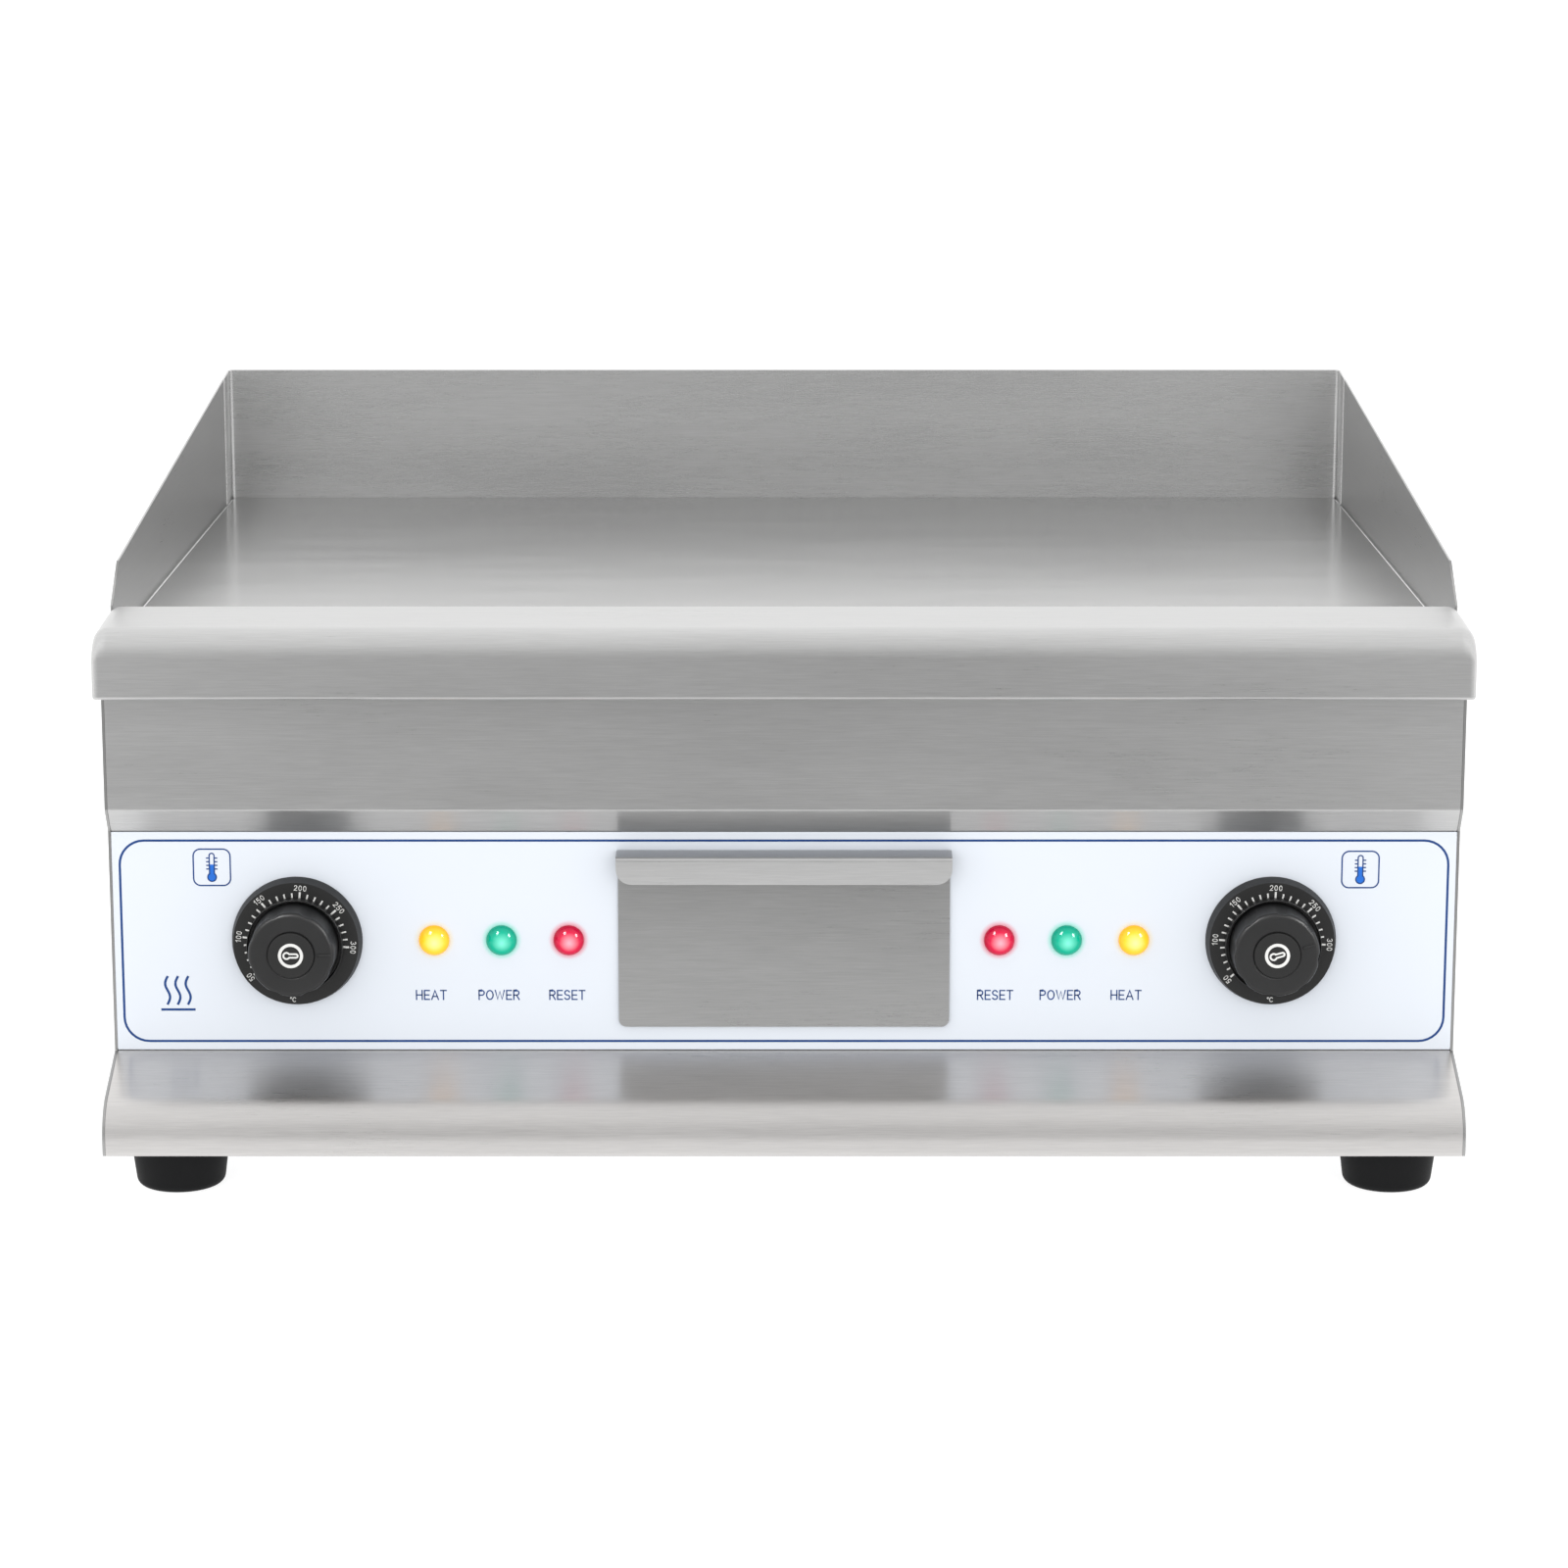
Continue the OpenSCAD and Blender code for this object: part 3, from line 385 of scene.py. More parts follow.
def lens_material(color, node):
    """Lit translucent lens: bright over the lamp, deeper in colour towards its rim."""
    shades = LENS[color]
    material, tree, shader = start_material("glow_" + node, Roughness=0.1, Specular_IOR_Level=0.3,
                                            Emission_Strength=0.9)
    x, _, z = span(node)
    bright_x, bright_z = middle(x) + 0.4, middle(z) - 0.3
    outward = calc(tree, "DIVIDE", distance_from(tree, bright_x, bright_z), (x[1] - x[0]) / 2)
    ramp = add(tree, "ValToRGB", Fac=outward)
    centre_at, body_at, rim_at = 0.05, 0.66, 0.98
    stops = ramp.color_ramp.elements
    stops[0].position, stops[0].color = centre_at, (*shades["centre"], 1)
    stops[1].position, stops[1].color = rim_at, (*shades["rim"], 1)
    stops.new(body_at).color = (*shades["body"], 1)
    connect(tree, shader.inputs["Emission Color"], ramp.outputs[0])
    connect(tree, shader.inputs["Base Color"], (*shades["rim"], 1))
    return material


MATERIALS = {
    "body_steel": brushed_steel("body_steel", "X", (0.53, 0.53, 0.528)),
    # Copies of one steel made lighter or darker for the light each sheet catches: painted light and shade;
    # the side sheets are also brushed front to back
    "side_steel": brushed_steel("side_steel", "Y", (0.37, 0.37, 0.368)),
    "nose_steel": brushed_steel("nose_steel", "X", (0.585, 0.572, 0.563)),
    "splash_steel": brushed_steel("splash_steel", "X", (0.61, 0.61, 0.608), 0.28),
    "drawer_steel": brushed_steel("drawer_steel", "X", (0.44, 0.44, 0.438)),
    "pull_steel": brushed_steel("pull_steel", "X", (0.59, 0.59, 0.588)),
    "plate_steel": brushed_steel("plate_steel", "X", (0.475, 0.475, 0.473), 0.21, 0.7, 0.5),
    "inner_steel": moulded("inner_steel", (0.52, 0.53, 0.54), 0.42, 2.5, 0.02, metallic=1.0, mottle=0.14),
    "element_steel": moulded("element_steel", (0.20, 0.17, 0.15), 0.5, 0.6, 0.02, metallic=1.0, mottle=0.3),
    "zinc": moulded("zinc", (0.60, 0.59, 0.54), 0.3, 0.8, 0.01, metallic=1.0, mottle=0.1),
    "panel_film": film_material(),
    "dial_black": moulded("dial_black", (0.013, 0.013, 0.013), 0.5, 0.22, 0.012, specular=0.3),
    "knob_black": moulded("knob_black", (0.0105, 0.0105, 0.0108), 0.40, 0.3, 0.01, specular=0.38),
    "lamp_white": moulded("lamp_white", (0.75, 0.74, 0.70), 0.4, 0.5, 0.01),
    "ceramic_cream": moulded("ceramic_cream", (0.66, 0.61, 0.50), 0.5, 0.6, 0.02),
    "copper": moulded("copper", (0.72, 0.36, 0.22), 0.3, 0.8, 0.01, metallic=1.0, mottle=0.15),
    "reset_red": moulded("reset_red", (0.52, 0.03, 0.025), 0.3, 0.4, 0.01),
    "mineral_wool": moulded("mineral_wool", (0.62, 0.55, 0.36), 0.95, 1.2, 0.6, mottle=0.2),
    "wire_red": moulded("wire_red", (0.42, 0.05, 0.04), 0.45, 0.7, 0.02),
    "gland_black": moulded("gland_black", (0.022, 0.022, 0.023), 0.5, 0.3, 0.02),
    "foot_rubber": moulded("foot_rubber", (0.006, 0.0062, 0.0067), 0.6, 0.45, 0.03, specular=0.12),
    "ink_blue": moulded("ink_blue", (0.012, 0.045, 0.165), 0.4, 0.2, 0.002, specular=0.15, mottle=0.1),
    "ink_sky": moulded("ink_sky", (0.015, 0.12, 0.50), 0.4, 0.2, 0.002, specular=0.15, mottle=0.1),
    "ink_white": moulded("ink_white", (0.56, 0.56, 0.545), 0.5, 0.2, 0.004),
}
SLOTS = {row["node"]: row["material_slot"] for row in frame["record"]["subparts"]}

# Every node starts with its slot's material; the lenses get theirs when they are made
for node, slot in SLOTS.items():
    if slot in MATERIALS:
        for place in frame["nodes"][node].material_slots:
            place.material = MATERIALS[slot]


# ---------------------------------------------------------------------------
# CAD shapes with eased edges, and the folded lip

SHEET = 1.2
# How far the drawer's finger pull reaches back from its foremost edge
PULL_DEPTH = 6
# How far the edges of each node are eased
EASED = {
    "griddle_plate": 0.6, "splash_back": 0.55, "splash_left": 0.55, "splash_right": 0.55,
    "grease_trough": 0.3, "front_apron": 0.3, "base_nose": 0.3, "side_panel_left": 0.45,
    "side_panel_right": 0.45, "back_panel": 0.3, "bottom_plate": 0.3, "drawer_tray": 0.3,
    "drawer_front": 0.3, "dial_left": 0.2, "dial_right": 0.2,
}
# Sheets brushed from front to back, and sheets given a lighter or darker copy of the steel as painted light
# and shade
PAINTED_TONE_AND_GRAIN = {
    "splash_left": "side_steel", "splash_right": "side_steel", "side_panel_left": "side_steel",
    "side_panel_right": "side_steel", "splash_back": "splash_steel", "base_nose": "nose_steel",
    "drawer_front": "drawer_steel",
}


def paint_pull_lighter(piece):
    """Paints the drawer's folded finger pull, the foremost part of its front, with a lighter copy of the
    steel: painted light on the fold.
    """
    # Painted light: the pull is the same sheet as the drawer front, given a lighter steel for the light its
    # fold catches
    piece.data.materials.append(MATERIALS["pull_steel"])
    fold = (span("drawer_front")[1][0] + PULL_DEPTH) * MM
    for face in piece.data.polygons:
        face.material_index = int(face.center.y < fold)


for node, width in EASED.items():
    finished = softened(node, width, MATERIALS[PAINTED_TONE_AND_GRAIN.get(node, SLOTS[node])])
    if node == "drawer_front":
        paint_pull_lighter(finished)


def front_lip():
    """Folded lip with closed ends, ground round on top and eased at the front."""
    lip_x, lip_y, lip_z = span("front_lip")
    front, back = lip_y
    bottom, top = lip_z
    deck = span("side_panel_left")[2][1]
    apron = span("front_apron")[1][0]
    above_deck, fall = 0.4, 2.7
    back_fold, front_fold, hem_fold = 2, 12, 2
    section = rounded_path([(back, deck + above_deck, 0), (back, top, back_fold),
                            (front, top - fall, front_fold), (front, bottom, hem_fold), (apron, bottom, 0)])
    # Roundings of the two ends
    top_round, front_round, bottom_round = 7.0, 3.0, 0.8

    def sunk(radius, from_end):
        """How far a quarter round has drawn the surface in, at a distance from the end."""
        if from_end >= radius:
            return 0
        return radius - math.sqrt(radius ** 2 - (radius - from_end) ** 2)

    def station(side, from_end):
        """The section at a distance from one end, drawn in by the roundings there."""
        low = sunk(bottom_round, from_end)
        high = sunk(top_round, from_end)
        inward = sunk(front_round, from_end)
        return [(side * (lip_x[1] - from_end),
                 back - (back - y) * (back - front - inward) / (back - front),
                 bottom + low + (z - bottom) * (top - bottom - low - high) / (top - bottom))
                for y, z in section]

    steps = 14
    ends = [top_round * (1 - math.cos(math.pi / 2 * k / steps)) for k in range(steps + 1)]
    bm = bmesh.new()
    rows = [station(-1, e) for e in ends] + [station(1, e) for e in reversed(ends)]
    grid = loft(bm, rows)
    for row, side in ((grid[0], -1), (grid[-1], 1)):
        cap = row + [bm.verts.new((side * lip_x[1], back, bottom))]
        # Both caps face outwards, so that the wall grows inwards from them
        bm.faces.new(cap if side > 0 else list(reversed(cap)))
    piece = new_piece("front_lip_finished", bm, "root", MATERIALS["body_steel"],
                      ["front_lip"])
    wall = piece.modifiers.new("wall", "SOLIDIFY")
    wall.thickness = SHEET * MM
    wall.offset = -1
    bevel(piece, 0.25, angle=60)
    bake_modifiers(piece, 50)


front_lip()


def seams():
    """Ground beads: upright where the back's returns meet the guards, and level beside the plate."""
    guard_x, guard_y, guard_z = span("splash_right")
    plate_y, plate_z = span("griddle_plate")[1:]
    inner, top = guard_x[1] - SHEET, plate_z[1]
    bead_half, bead_depth = 0.8, 0.9
    bm = bmesh.new()
    for side in SIDES.values():
        upright = [(side * (inner + 0.2 - bead_half * math.sin(t)), guard_y[1] - bead_depth * math.cos(t))
                   for t in (math.pi * k / 8 for k in range(9))]
        level = [(side * (inner + 0.1 - x), top - drop) for x, drop in
                 ((0, 1.9), (0, 0.6), (0.4, 0.9), (0.8, 1.0), (1.3, 1.1), (1.3, 1.9))]
        for rows in ([[(x, y, z) for x, y in upright] for z in (top - 0.5, guard_z[1] - 0.4)],
                     [[(x, y, z) for x, z in level] for y in (plate_y[0] + 0.7, plate_y[1])]):
            grid = loft(bm, rows, closed=True)
            bm.faces.new(grid[0])
            bm.faces.new(list(reversed(grid[1])))
    bmesh.ops.recalc_face_normals(bm, faces=bm.faces)
    new_piece("splash_seams", bm, "root", MATERIALS["splash_steel"], sharp_angle=40)


seams()


# ---------------------------------------------------------------------------
# Printing: strokes raised a little from the face they are printed on

INK = 0.04


def printed(name, bm, body, ink):
    """Turns drawn ink into a flat-shaded piece."""
    bmesh.ops.recalc_face_normals(bm, faces=bm.faces)
    new_piece(name, bm, body, ink).data.shade_flat()


def raised_strip(bm, points, width, place, base, closed=False):
    """Flat ribbon of ink along 2D points, with square ends half a width past the last points."""
    points = [Vector(p) for p in points]
    count = len(points)
    edges = []
    for i, point in enumerate(points):
        before = points[i - 1] if closed or i else None
        after = points[(i + 1) % count] if closed or i < count - 1 else None
        arrive = (point - before).normalized() if before is not None else None
        leave = (after - point).normalized() if after is not None else None
        arrive, leave = arrive or leave, leave or arrive
        across = Vector((-arrive.y, arrive.x)) + Vector((-leave.y, leave.x))
        across = across / max(across.length_squared / 2, 0.35)
        tail = Vector((0, 0))
        if before is None or after is None:
            tail = 0.5 * width * (leave if before is None else -arrive)
        edges.append((point - tail + across * width / 2, point - tail - across * width / 2))
    rows = []
    for left, right in edges:
        rows.append([bm.verts.new(place(*p, h)) for p, h in
                     ((left, base), (left, base + INK), (right, base + INK), (right, base))])
    pairs = list(zip(rows, rows[1:])) + ([(rows[-1], rows[0])] if closed else [])
    for low, high in pairs:
        for i in range(4):
            bm.faces.new((low[i], low[(i + 1) % 4], high[(i + 1) % 4], high[i]))
    if not closed:
        bm.faces.new(rows[0])
        bm.faces.new(list(reversed(rows[-1])))


def raised_shape(bm, outline, place, base):
    """Filled patch of ink inside a closed outline."""
    low = [bm.verts.new(place(*p, base)) for p in outline]
    high = [bm.verts.new(place(*p, base + INK)) for p in outline]
    for i in range(len(outline)):
        j = (i + 1) % len(outline)
        bm.faces.new((low[i], low[j], high[j], high[i]))
    bm.faces.new(high)
    bm.faces.new(list(reversed(low)))


def bow(x, y, rx, ry, start, stop, steps=14):
    """Points along an elliptic arc, in degrees."""
    angles = (math.radians(start + (stop - start) * k / steps) for k in range(steps + 1))
    return [(x + rx * math.cos(t), y + ry * math.sin(t)) for t in angles]


def rounded_box(x, y, width, height, radius):
    """Closed outline of a rectangle with round corners."""
    outline = []
    for quarter, (sx, sy) in enumerate(((1, 1), (-1, 1), (-1, -1), (1, -1))):
        outline += bow(x + sx * (width / 2 - radius), y + sy * (height / 2 - radius), radius, radius,
                       90 * quarter, 90 * quarter + 90, 8)
    return outline


# Strokes of each sign, one unit tall
BOWL = [(0, 1), (0.3, 1)] + bow(0.3, 0.74, 0.26, 0.26, 90, -90) + [(0, 0.48)]
SIGNS = {
    "H": (0.62, [[(0, 0), (0, 1)], [(0.62, 0), (0.62, 1)], [(0, 0.5), (0.62, 0.5)]]),
    "E": (0.52, [[(0.52, 0), (0, 0), (0, 1), (0.52, 1)], [(0, 0.5), (0.46, 0.5)]]),
    "A": (0.72, [[(0, 0), (0.36, 1), (0.72, 0)], [(0.13, 0.33), (0.59, 0.33)]]),
    "T": (0.60, [[(0, 1), (0.6, 1)], [(0.3, 1), (0.3, 0)]]),
    "P": (0.56, [[(0, 0), (0, 1)], BOWL]),
    "O": (0.70, [bow(0.35, 0.5, 0.35, 0.5, 0, 360, 28)]),
    "W": (0.96, [[(0, 1), (0.24, 0), (0.48, 0.9), (0.72, 0), (0.96, 1)]]),
    "R": (0.58, [[(0, 0), (0, 1)], BOWL, [(0.3, 0.48), (0.58, 0)]]),
    "S": (0.56, [bow(0.28, 0.745, 0.26, 0.255, 25, 270) + bow(0.28, 0.245, 0.27, 0.245, 90, -155)[1:]]),
    "0": (0.54, [bow(0.27, 0.5, 0.27, 0.5, 0, 360, 24)]),
    "1": (0.30, [[(0, 0.76), (0.24, 1), (0.24, 0)]]),
    "2": (0.54, [bow(0.27, 0.72, 0.26, 0.28, 165, -40) + [(0, 0), (0.54, 0)]]),
    "3": (0.54, [bow(0.25, 0.75, 0.24, 0.25, 150, -90) + bow(0.25, 0.25, 0.28, 0.25, 90, -150)[1:]]),
    "5": (0.54, [[(0.5, 1), (0.08, 1), (0.03, 0.52)] + bow(0.26, 0.32, 0.27, 0.32, 130, -150)]),
    "C": (0.66, [bow(0.36, 0.5, 0.36, 0.5, 45, 315, 20)]),
    "o": (0.30, [bow(0.14, 0.84, 0.14, 0.16, 0, 360, 14)]),
}


def lettering(bm, word, centre, height, stroke, place, base, turn=0.0, gap=0.26):
    """Writes a word round a centre point, turned clockwise by an angle in degrees."""
    total = sum(SIGNS[sign][0] for sign in word) + gap * (len(word) - 1)
    cos_t, sin_t = math.cos(math.radians(turn)), math.sin(math.radians(turn))
    start = -total / 2
    for sign in word:
        width, strokes = SIGNS[sign]
        for points in strokes:
            local = [((start + x) * height, (y - 0.5) * height) for x, y in points]
            turned = [(centre[0] + x * cos_t + y * sin_t, centre[1] - x * sin_t + y * cos_t)
                      for x, y in local]
            raised_strip(bm, turned, stroke, place, base)
        start += width + gap


def thermometer_outline(centre, height, tube, bulb, level=1.0):
    """Outline of a tube over a round bulb, filled up to a share of the tube's height."""
    x, y = centre
    low = y - height / 2 + bulb
    neck = math.degrees(math.asin(tube / bulb))
    top = y + height / 2 - tube
    if level < 1:
        neck_y = low + bulb * math.cos(math.radians(neck))
        cut_y = neck_y + (top - neck_y) * level
        crown = [(x + tube, cut_y), (x - tube, cut_y)]
    else:
        crown = bow(x, top, tube, tube, 0, 180, 10)
    return crown + bow(x, low, bulb, bulb, 90 + neck, 450 - neck, 22)


def thermometer(bm, centre, height, stroke, place, base):
    """Generic thermometer sign: a tube with marks over a bulb."""
    x, y = centre
    tube, bulb = height * 0.085, height * 0.15
    raised_strip(bm, thermometer_outline(centre, height, tube, bulb), stroke, place, base, closed=True)
    for mark in range(4):
        level = y + height * (0.33 - 0.13 * mark)
        for side in SIDES.values():
            raised_strip(bm, [(x + side * (tube + stroke), level), (x + side * (tube + 1.9 * stroke), level)],
                         stroke, place, base)


def heat_waves(bm, centre, height, stroke, place, base):
    """Generic hot-surface sign: three rising waves over a bar."""
    x, y = centre
    bottom = y - height * 0.3
    for column in (-1, 0, 1):
        wave = [(x + column * height * 0.27 + height * 0.06 * math.sin(2 * math.pi * k / 20),
                 bottom + height * 0.72 * k / 20) for k in range(21)]
        raised_strip(bm, wave, stroke, place, base)
    bar = [(x + end * height * 0.42, bottom - height * 0.16) for end in (-1, 1)]
    raised_strip(bm, bar, stroke, place, base)


def panel_print():
    """What is printed on the film: its border, the lamps' labels and the signs."""
    lines, fill = bmesh.new(), bmesh.new()
    place = facing_front(0, FILM_FRONT, 0)
    margin_x, margin_z, border_r, border = 3.4, 3.9, 11, 1.05
    outline = rounded_box(0, middle(FILM_Z), FILM_X[1] - FILM_X[0] - 2 * margin_x,
                          FILM_Z[1] - FILM_Z[0] - 2 * margin_z, border_r)
    raised_strip(lines, outline, border, place, 0, closed=True)
    label_z, letter_height, stroke = 85.4, 4.1, 0.60
    # The labels stand a little to the left of their lamps, more so on the right side
    shift = {"heat": 1.7, "power": 1.4, "reset": 0.9}
    further = {"left": 1, "right": 1.8}
    for side in SIDES:
        for lamp, _ in LAMPS:
            x = middle(span(f"lens_{lamp}_{side}")[0]) - shift[lamp] * further[side]
            lettering(lines, lamp.upper(), (x, label_z), letter_height, stroke, place, 0)
    thermometer_at = [(-254.3, 144.0), (256.2, 143.0)]
    box_width, box_height, box_r, box_line = 16.4, 16.6, 3.2, 0.66
    filled_height, tube, bulb, level = 12.2, 0.78, 1.62, 0.52
    for x, z in thermometer_at:
        box = rounded_box(x, z, box_width, box_height, box_r)
        raised_strip(lines, box, box_line, place, 0, closed=True)
        thermometer(lines, (x, z), 12.8, stroke, place, 0)
        raised_shape(fill, thermometer_outline((x, z), filled_height, tube, bulb, level), place, 0)
    waves_at, waves_height, waves_stroke = (-271.0, 86.5), 17.0, 1.1
    heat_waves(lines, waves_at, waves_height, waves_stroke, place, 0)
    printed("panel_print", lines, "root", MATERIALS["ink_blue"])
    printed("panel_print_fill", fill, "root", MATERIALS["ink_sky"])


panel_print()


def dial_scale(side, turn):
    """Temperature scale printed on a dial: a tick each 10 degrees, a number each 50."""
    x, y, z = span("dial_" + side)
    bm = bmesh.new()
    place = facing_front(middle(x), y[0], middle(z))
    lowest, tick_count, first_at, step, unit_at = 50, 26, -126.7, 8.82, 184
    ticks_from, ticks_to, long_ticks_to, numbers_at, unit_out = 21.4, 22.8, 23.3, 25.5, 25.6
    for tick in range(tick_count):
        angle = math.radians(first_at + turn + step * tick)
        major = tick % 5 == 0
        out = Vector((math.sin(angle), math.cos(angle)))
        raised_strip(bm, [out * ticks_from, out * (long_ticks_to if major else ticks_to)],
                     0.85 if major else 0.7, place, 0)
        if major:
            lettering(bm, str(lowest + 10 * tick), out * numbers_at, 2.2, 0.3, place, 0,
                      math.degrees(angle), 0.38)
    angle = math.radians(unit_at + turn)
    out = Vector((math.sin(angle), math.cos(angle)))
    lettering(bm, "oC", out * unit_out, 2.0, 0.32, place, 0, turn + 4, 0.24)
    printed("dial_scale_" + side, bm, "root", MATERIALS["ink_white"])


dial_scale("left", 0)
dial_scale("right", -3)


# ---------------------------------------------------------------------------
# Knobs, lamps and feet


def turned_place(side, seat_y):
    """Local coordinates in front of a plane across a knob, with up along its pointer."""
    x, _, z = span("knob_" + side)
    angle = math.radians(POINTER[side])
    cos_t, sin_t = math.cos(angle), math.sin(angle)
    cx, cz = middle(x), middle(z)
    return lambda a, b, out: (cx + a * cos_t + b * sin_t, seat_y - out, cz - a * sin_t + b * cos_t)


def knob(side):
    """Eight-lobed grip that stands in a round skirt with a deep groove between, and a seat for its cap."""
    front, seat = span("knob_" + side)[1]
    low, high = span("knob_" + side)[2]
    cap_low, cap_high = span("knob_cap_" + side)[0]
    cap_r, radius = (cap_high - cap_low) / 2, (high - low) / 2
    height = seat - front
    face = height - 0.6
    outline = [(radius - 2.6, 0, 0), (radius - 2.6, 0.7, 0.2), (radius, 1.0, 0.2), (radius, 5.7, 0.2),
               (radius - 0.4, 5.75, 0.15), (radius - 0.45, 1.4, 0.2), (radius - 1.9, 1.4, 0.2),
               (radius - 2.3, face, 2.1), (cap_r + 0.9, face + 0.05, 0.2), (cap_r + 0.15, face - 0.2, 0.15),
               (cap_r + 0.15, height - 1.4, 0.1), (0, height - 1.4, 0)]
    lobes, valley_r, valley_at = 8, 6.4, radius + 3.4
    lobe_from, lobe_full, softness = 6.2, 7.4, 0.3

    def lobed(r, out, angle):
        """Radius after the finger valleys are scooped out of the grip."""
        from_valley = (angle % (2 * math.pi / lobes)) - math.pi / lobes
        reach = valley_at * math.sin(from_valley)
        if abs(reach) >= valley_r or out < lobe_from or r > radius - 1:
            return r
        cut = valley_at * math.cos(from_valley) - math.sqrt(valley_r ** 2 - reach ** 2)
        depth = min(1, (out - lobe_from) / (lobe_full - lobe_from))
        over = (r - cut) / softness
        scooped = r - softness * math.log1p(math.exp(min(over, 40)))
        return r + (scooped - r) * depth if over > -6 else r

    bm = bmesh.new()
    lathe(bm, rounded_path(outline, 8), turned_place(side, seat), 192, lobed)
    new_piece("knob_grip_" + side, bm, side + "_knob", MATERIALS["knob_black"],
              ["knob_" + side], 45)


def knob_cap(side):
    """Flush cap with a dished face, and the sign printed on it."""
    x, y, z = span("knob_cap_" + side)
    radius = (x[1] - x[0]) / 2
    place = facing_front(middle(x), y[1], middle(z))
    # The face is low enough for the raised sign to stay inside the CAD cap
    face = y[1] - y[0] - INK - 0.01
    bm = bmesh.new()
    outline = [(radius, 0, 0), (radius, face, 0.5), (radius - 2.6, face, 3.0), (0, face, 0)]
    lathe(bm, [(0, 0)] + rounded_path(outline, 6), place)
    new_piece("knob_cap_" + side + "_finished", bm, side + "_knob",
              MATERIALS["dial_black"], ["knob_cap_" + side], 50)
    bm = bmesh.new()
    turned = turned_place(side, y[1])
    ring = bow(0, 0, 4.85, 4.85, 0, 360, 48)[:-1]
    raised_strip(bm, ring, 1.35, turned, face, closed=True)
    raised_strip(bm, thermometer_outline((0, 0), 6.3, 0.8, 1.4), 0.78, turned, face, closed=True)
    printed("knob_sign_" + side, bm, side + "_knob", MATERIALS["ink_white"])


def pointer_rib(side):
    """Raised line from the cap to the edge of the grip."""
    bm = bmesh.new()
    behind_front = 1.2
    place = turned_place(side, span("knob_" + side)[1][0] + behind_front)
    crest_half, root_half, sunk = 0.45, 0.65, 1.6
    rows = [[place(-root_half, along, height - sunk), place(-crest_half, along, height),
             place(crest_half, along, height), place(root_half, along, height - sunk)]
            for along, height in ((11.6, 1.15), (15.0, 1.15), (16.8, 1.0), (18.2, 0.1), (18.9, -1.6))]
    grid = loft(bm, rows, closed=True)
    bm.faces.new(grid[0])
    bm.faces.new(list(reversed(grid[-1])))
    bmesh.ops.recalc_face_normals(bm, faces=bm.faces)
    new_piece("knob_pointer_" + side, bm, side + "_knob", MATERIALS["knob_black"])


def lens(node, color):
    """Domed lens with a narrow rim, and a neck that reaches back through the panel."""
    x, y, z = span(node)
    radius = (x[1] - x[0]) / 2
    dome, neck, neck_r, steps = 3.5, 3, radius - 0.9, 14
    rim_out = FILM_FRONT - y[0] - dome
    ball = (radius ** 2 + dome ** 2) / (2 * dome)
    dome_edge = math.asin((radius - 0.3) / ball)
    profile = [(0, -neck), (neck_r, -neck), (neck_r, 0), (radius, 0), (radius, rim_out - 0.2),
               (radius - 0.15, rim_out)]
    for k in range(steps):
        angle = dome_edge * (1 - k / steps)
        profile.append((ball * math.sin(angle), rim_out + dome - ball + ball * math.cos(angle)))
    profile.append((0, rim_out + dome))
    bm = bmesh.new()
    lathe(bm, profile, facing_front(middle(x), FILM_FRONT, middle(z)), 48)
    new_piece(node + "_lit", bm, "root", lens_material(color, node), [node], 50)


def foot(node):
    """Tapered rubber foot with a round bottom edge and a bolt recess."""
    x, y, z = span(node)
    top_r, height = (x[1] - x[0]) / 2, z[1]
    taper, bolt_r, recess_r, recess_top = 3.0, 3.3, 6, 8
    outline = [(recess_r, recess_top, 0), (recess_r, 0, 0.8), (top_r - taper, 0, 4.0), (top_r, height, 0.8),
               (bolt_r, height, 0)]
    bm = bmesh.new()
    lathe(bm, rounded_path(outline, 8) + [(bolt_r, recess_top), (recess_r, recess_top)],
          lambda a, b, out: (middle(x) + a, middle(y) + b, out))
    new_piece(node + "_finished", bm, "root", MATERIALS["foot_rubber"], [node], 50)


for side in SIDES:
    knob(side)
    knob_cap(side)
    pointer_rib(side)
for node, color in lamp_nodes():
    lens(node, color)
for node in SLOTS:
    if node.startswith("foot_") and node != "foot_fasteners":
        foot(node)


# ---------------------------------------------------------------------------
# Studio


def studio_world():
    """Soft surroundings: grey round the camera, white overhead, brightest behind the object."""
    world = bpy.data.worlds.new("studio")
    bpy.context.scene.world = world
    world.use_nodes = True
    tree = world.node_tree
    ground = tree.nodes["Background"]
    direction = add(tree, "SeparateXYZ", Vector=add(tree, "TexCoord").outputs["Generated"])
    front_to_back = add(tree, "ValToRGB", Fac=calc(tree, "MULTIPLY_ADD", direction.outputs["Y"], 0.5, 0.5))
    ramp = front_to_back.color_ramp
    greys = [(0.0, 0.46), (0.045, 0.60), (0.125, 0.80), (0.4, 0.84), (1.0, 1.0)]
    while len(ramp.elements) < len(greys):
        ramp.elements.new(0.5)
    for stop, (place, grey) in zip(ramp.elements, greys):
        stop.position, stop.color = place, (grey, grey, grey, 1)
    aside = add(tree, "MapRange", Value=calc(tree, "ABSOLUTE", direction.outputs["X"]),
                From_Min=0.02, From_Max=0.3, To_Min=0.86, To_Max=1.14).outputs[0]
    brightness = add(tree, "MapRange", Value=direction.outputs["Y"], From_Min=-0.3, From_Max=0.1,
                     To_Min=aside, To_Max=1.0).outputs[0]
    strength = 1.45
    connect(tree, ground.inputs["Color"], front_to_back.outputs[0])
    connect(tree, ground.inputs["Strength"], calc(tree, "MULTIPLY", brightness, strength))


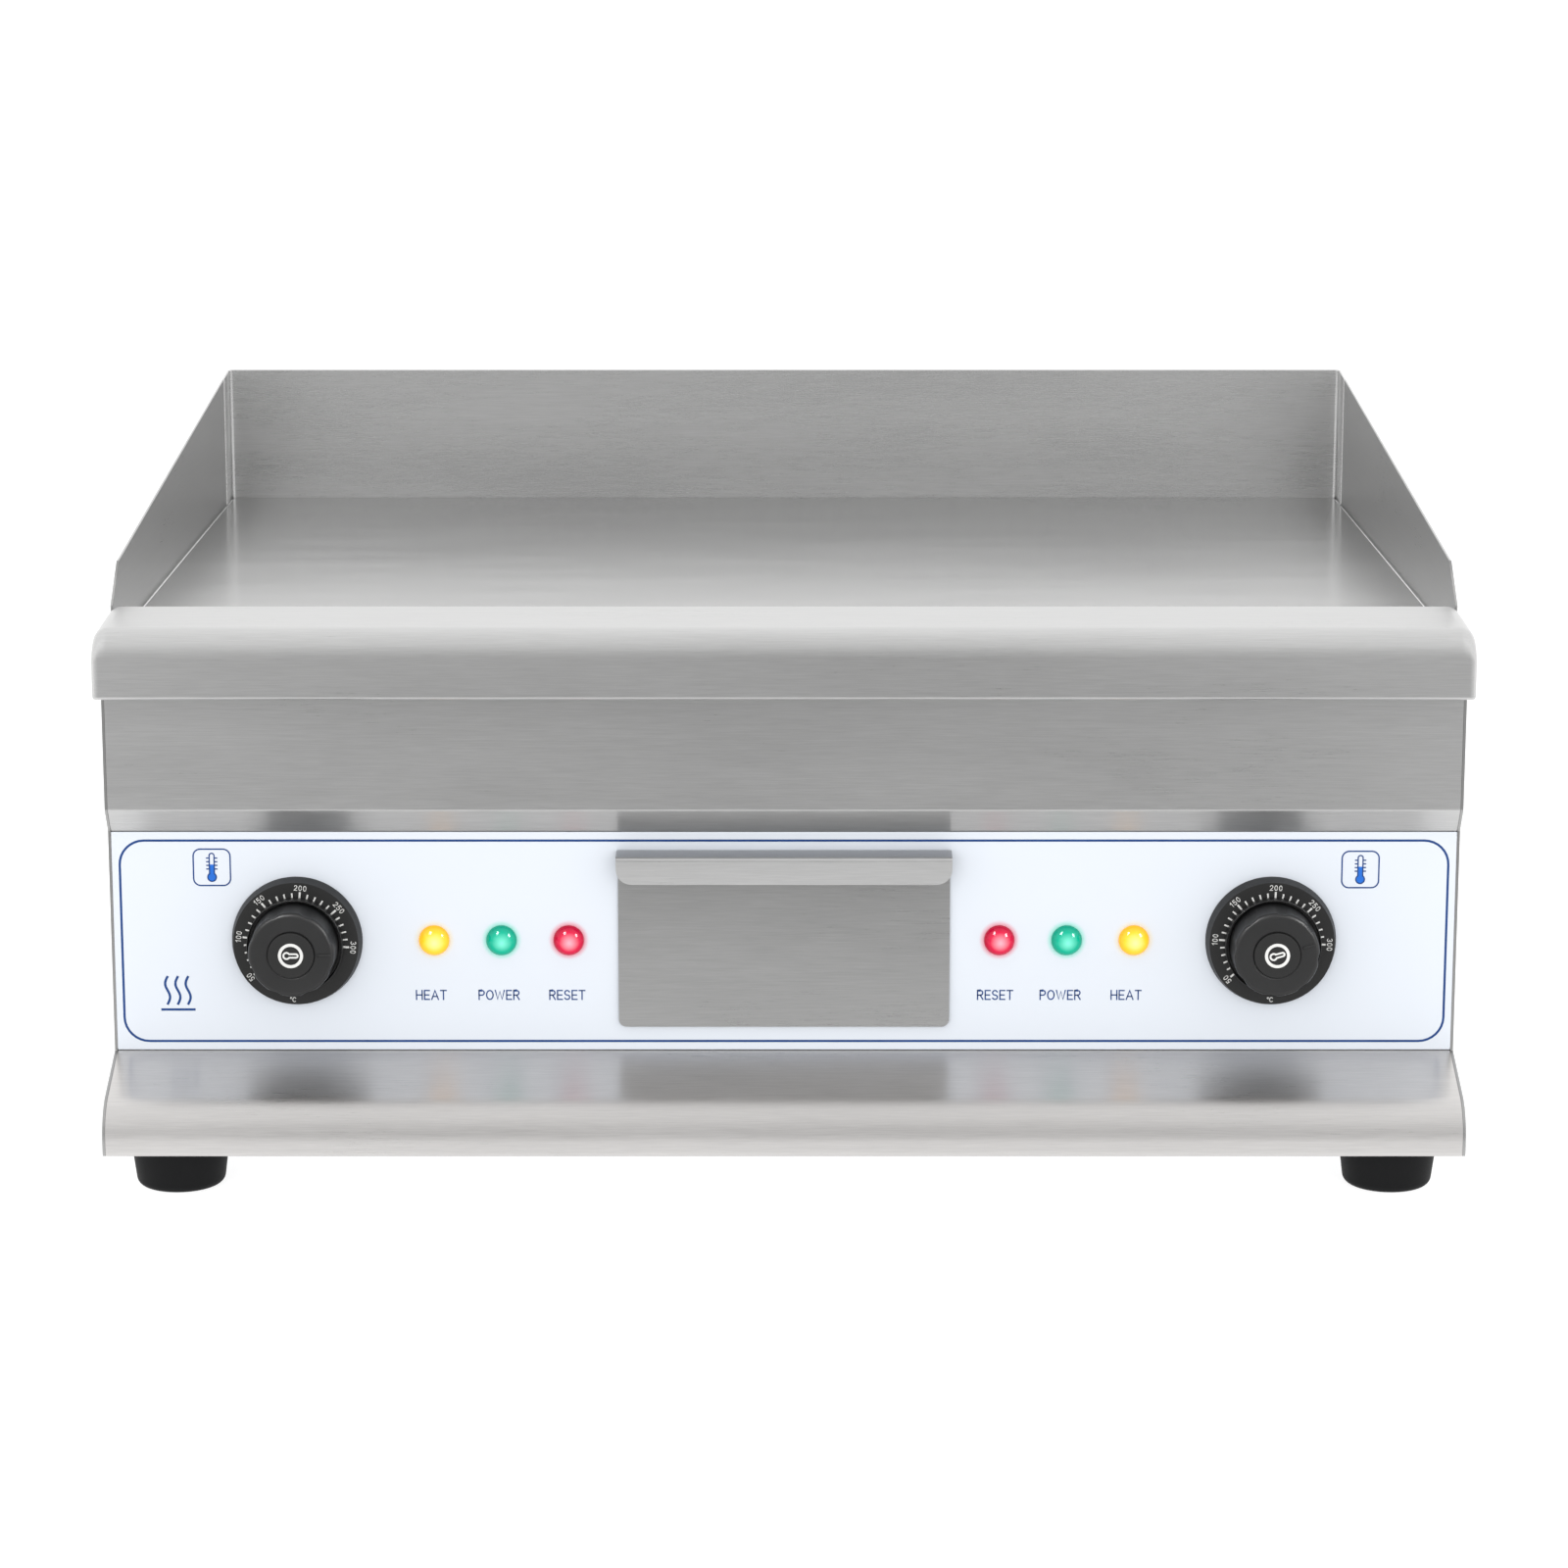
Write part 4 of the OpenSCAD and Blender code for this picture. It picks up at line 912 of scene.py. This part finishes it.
def stage_plane(name, x, y, z, **values):
    """Level rectangle of the stage, in millimetres; returns it with its material."""
    corners = [(x[0], y[0], z), (x[1], y[0], z), (x[1], y[1], z), (x[0], y[1], z)]
    bm = bmesh.new()
    bm.faces.new([bm.verts.new(p) for p in corners])
    bmesh.ops.scale(bm, vec=(MM,) * 3, verts=bm.verts)
    mesh = bpy.data.meshes.new(name)
    bm.to_mesh(mesh)
    bm.free()
    plane = bpy.data.objects.new(name, mesh)
    bpy.context.scene.collection.objects.link(plane)
    material, _, _ = start_material(name, Roughness=1.0, Specular_IOR_Level=0.0,
                                    Emission_Color=(1, 1, 1, 1), **values)
    mesh.materials.append(material)
    return plane, material


def floor():
    """White floor that reaches past the edges of any view."""
    reach = 40000
    stage_plane("floor_white", (-reach, reach), (-reach, reach), 0, Base_Color=(0.35, 0.35, 0.35, 1),
                Emission_Strength=0.86)


def grey_card():
    """Card on the floor in front, which only reflections see, to give the upright steel its grey."""
    front = span("base_nose")[1][0]
    card, material = stage_plane("grey_card", (-2500, 2500), (front - 4000, front - 150), 1,
                                 Base_Color=(0, 0, 0, 1))
    tree = material.node_tree
    place = add(tree, "SeparateXYZ", Vector=add(tree, "TexCoord").outputs["Object"])

    def ahead(far, painted_glow, at_far, at_near):
        """Change between two distances in front of the nose, in millimetres."""
        return fade(tree, place.outputs["Y"], (front - far) * MM, (front - painted_glow) * MM, at_far, at_near)

    aside = fade(tree, calc(tree, "ABSOLUTE", place.outputs["X"]), 0.05, 0.75, 0.47, 0.80)
    dimmed = calc(tree, "MULTIPLY", calc(tree, "MULTIPLY", aside, ahead(1010, 850, 0.8, 1.0)),
                  ahead(560, 400, 1.0, 0.7))
    connect(tree, tree.nodes["Principled BSDF"].inputs["Emission Strength"], ahead(285, 225, dimmed, 1.15))
    card.visible_camera = False
    card.visible_diffuse = False
    card.visible_transmission = False
    card.visible_shadow = False


def area_light(name, position, target, size, power, only_on=()):
    """Soft light that reflections do not see, or a highlight on a few glossy pieces alone.

    Places and sizes are in metres, and the power is in watts.
    """
    data = bpy.data.lights.new(name, "AREA")
    data.shape = "RECTANGLE"
    data.size, data.size_y = size
    data.energy = power
    lamp = bpy.data.objects.new(name, data)
    lamp.location = position
    lamp.rotation_euler = (Vector(target) - Vector(position)).to_track_quat("-Z", "Y").to_euler()
    lamp.visible_glossy = bool(only_on)
    lamp.visible_diffuse = not only_on
    if only_on:
        group = bpy.data.collections.new(name + "_pieces")
        for piece in only_on:
            group.objects.link(piece)
        lamp.light_linking.receiver_collection = group
    bpy.context.scene.collection.objects.link(lamp)


def camera():
    """Straight on, a little above, 1.9 m from the front."""
    distance, height, pitch = 1.876, 0.593, 12.08
    data = bpy.data.cameras.new("camera")
    data.sensor_width = 36
    data.lens = 101.89
    view = bpy.data.objects.new("camera", data)
    view.location = (0, span("base_nose")[1][0] * MM - distance, height)
    view.rotation_euler = (math.radians(90 - pitch), 0, 0)
    bpy.context.scene.collection.objects.link(view)
    bpy.context.scene.camera = view


studio_world()
floor()
grey_card()
area_light("overhead", (0, -0.2, 2.3), (0, 0, 0.15), (2.6, 1.4), 16)
area_light("front_fill", (0, -2.4, 0.65), (0, -0.25, 0.1), (2.4, 1.2), 26)
glossy = [piece for piece in bpy.data.objects
          if piece.name.endswith("_lit") or piece.name.startswith("knob_grip")]
area_light("window_left", (-0.95, -1.5, 1.45), (0, -0.25, 0.1), (0.42, 0.65), 34, glossy)
area_light("window_right", (1.45, -1.4, 0.95), (0, -0.25, 0.1), (0.42, 0.65), 34, glossy)
camera()
bpy.context.scene.view_settings.view_transform = "Standard"
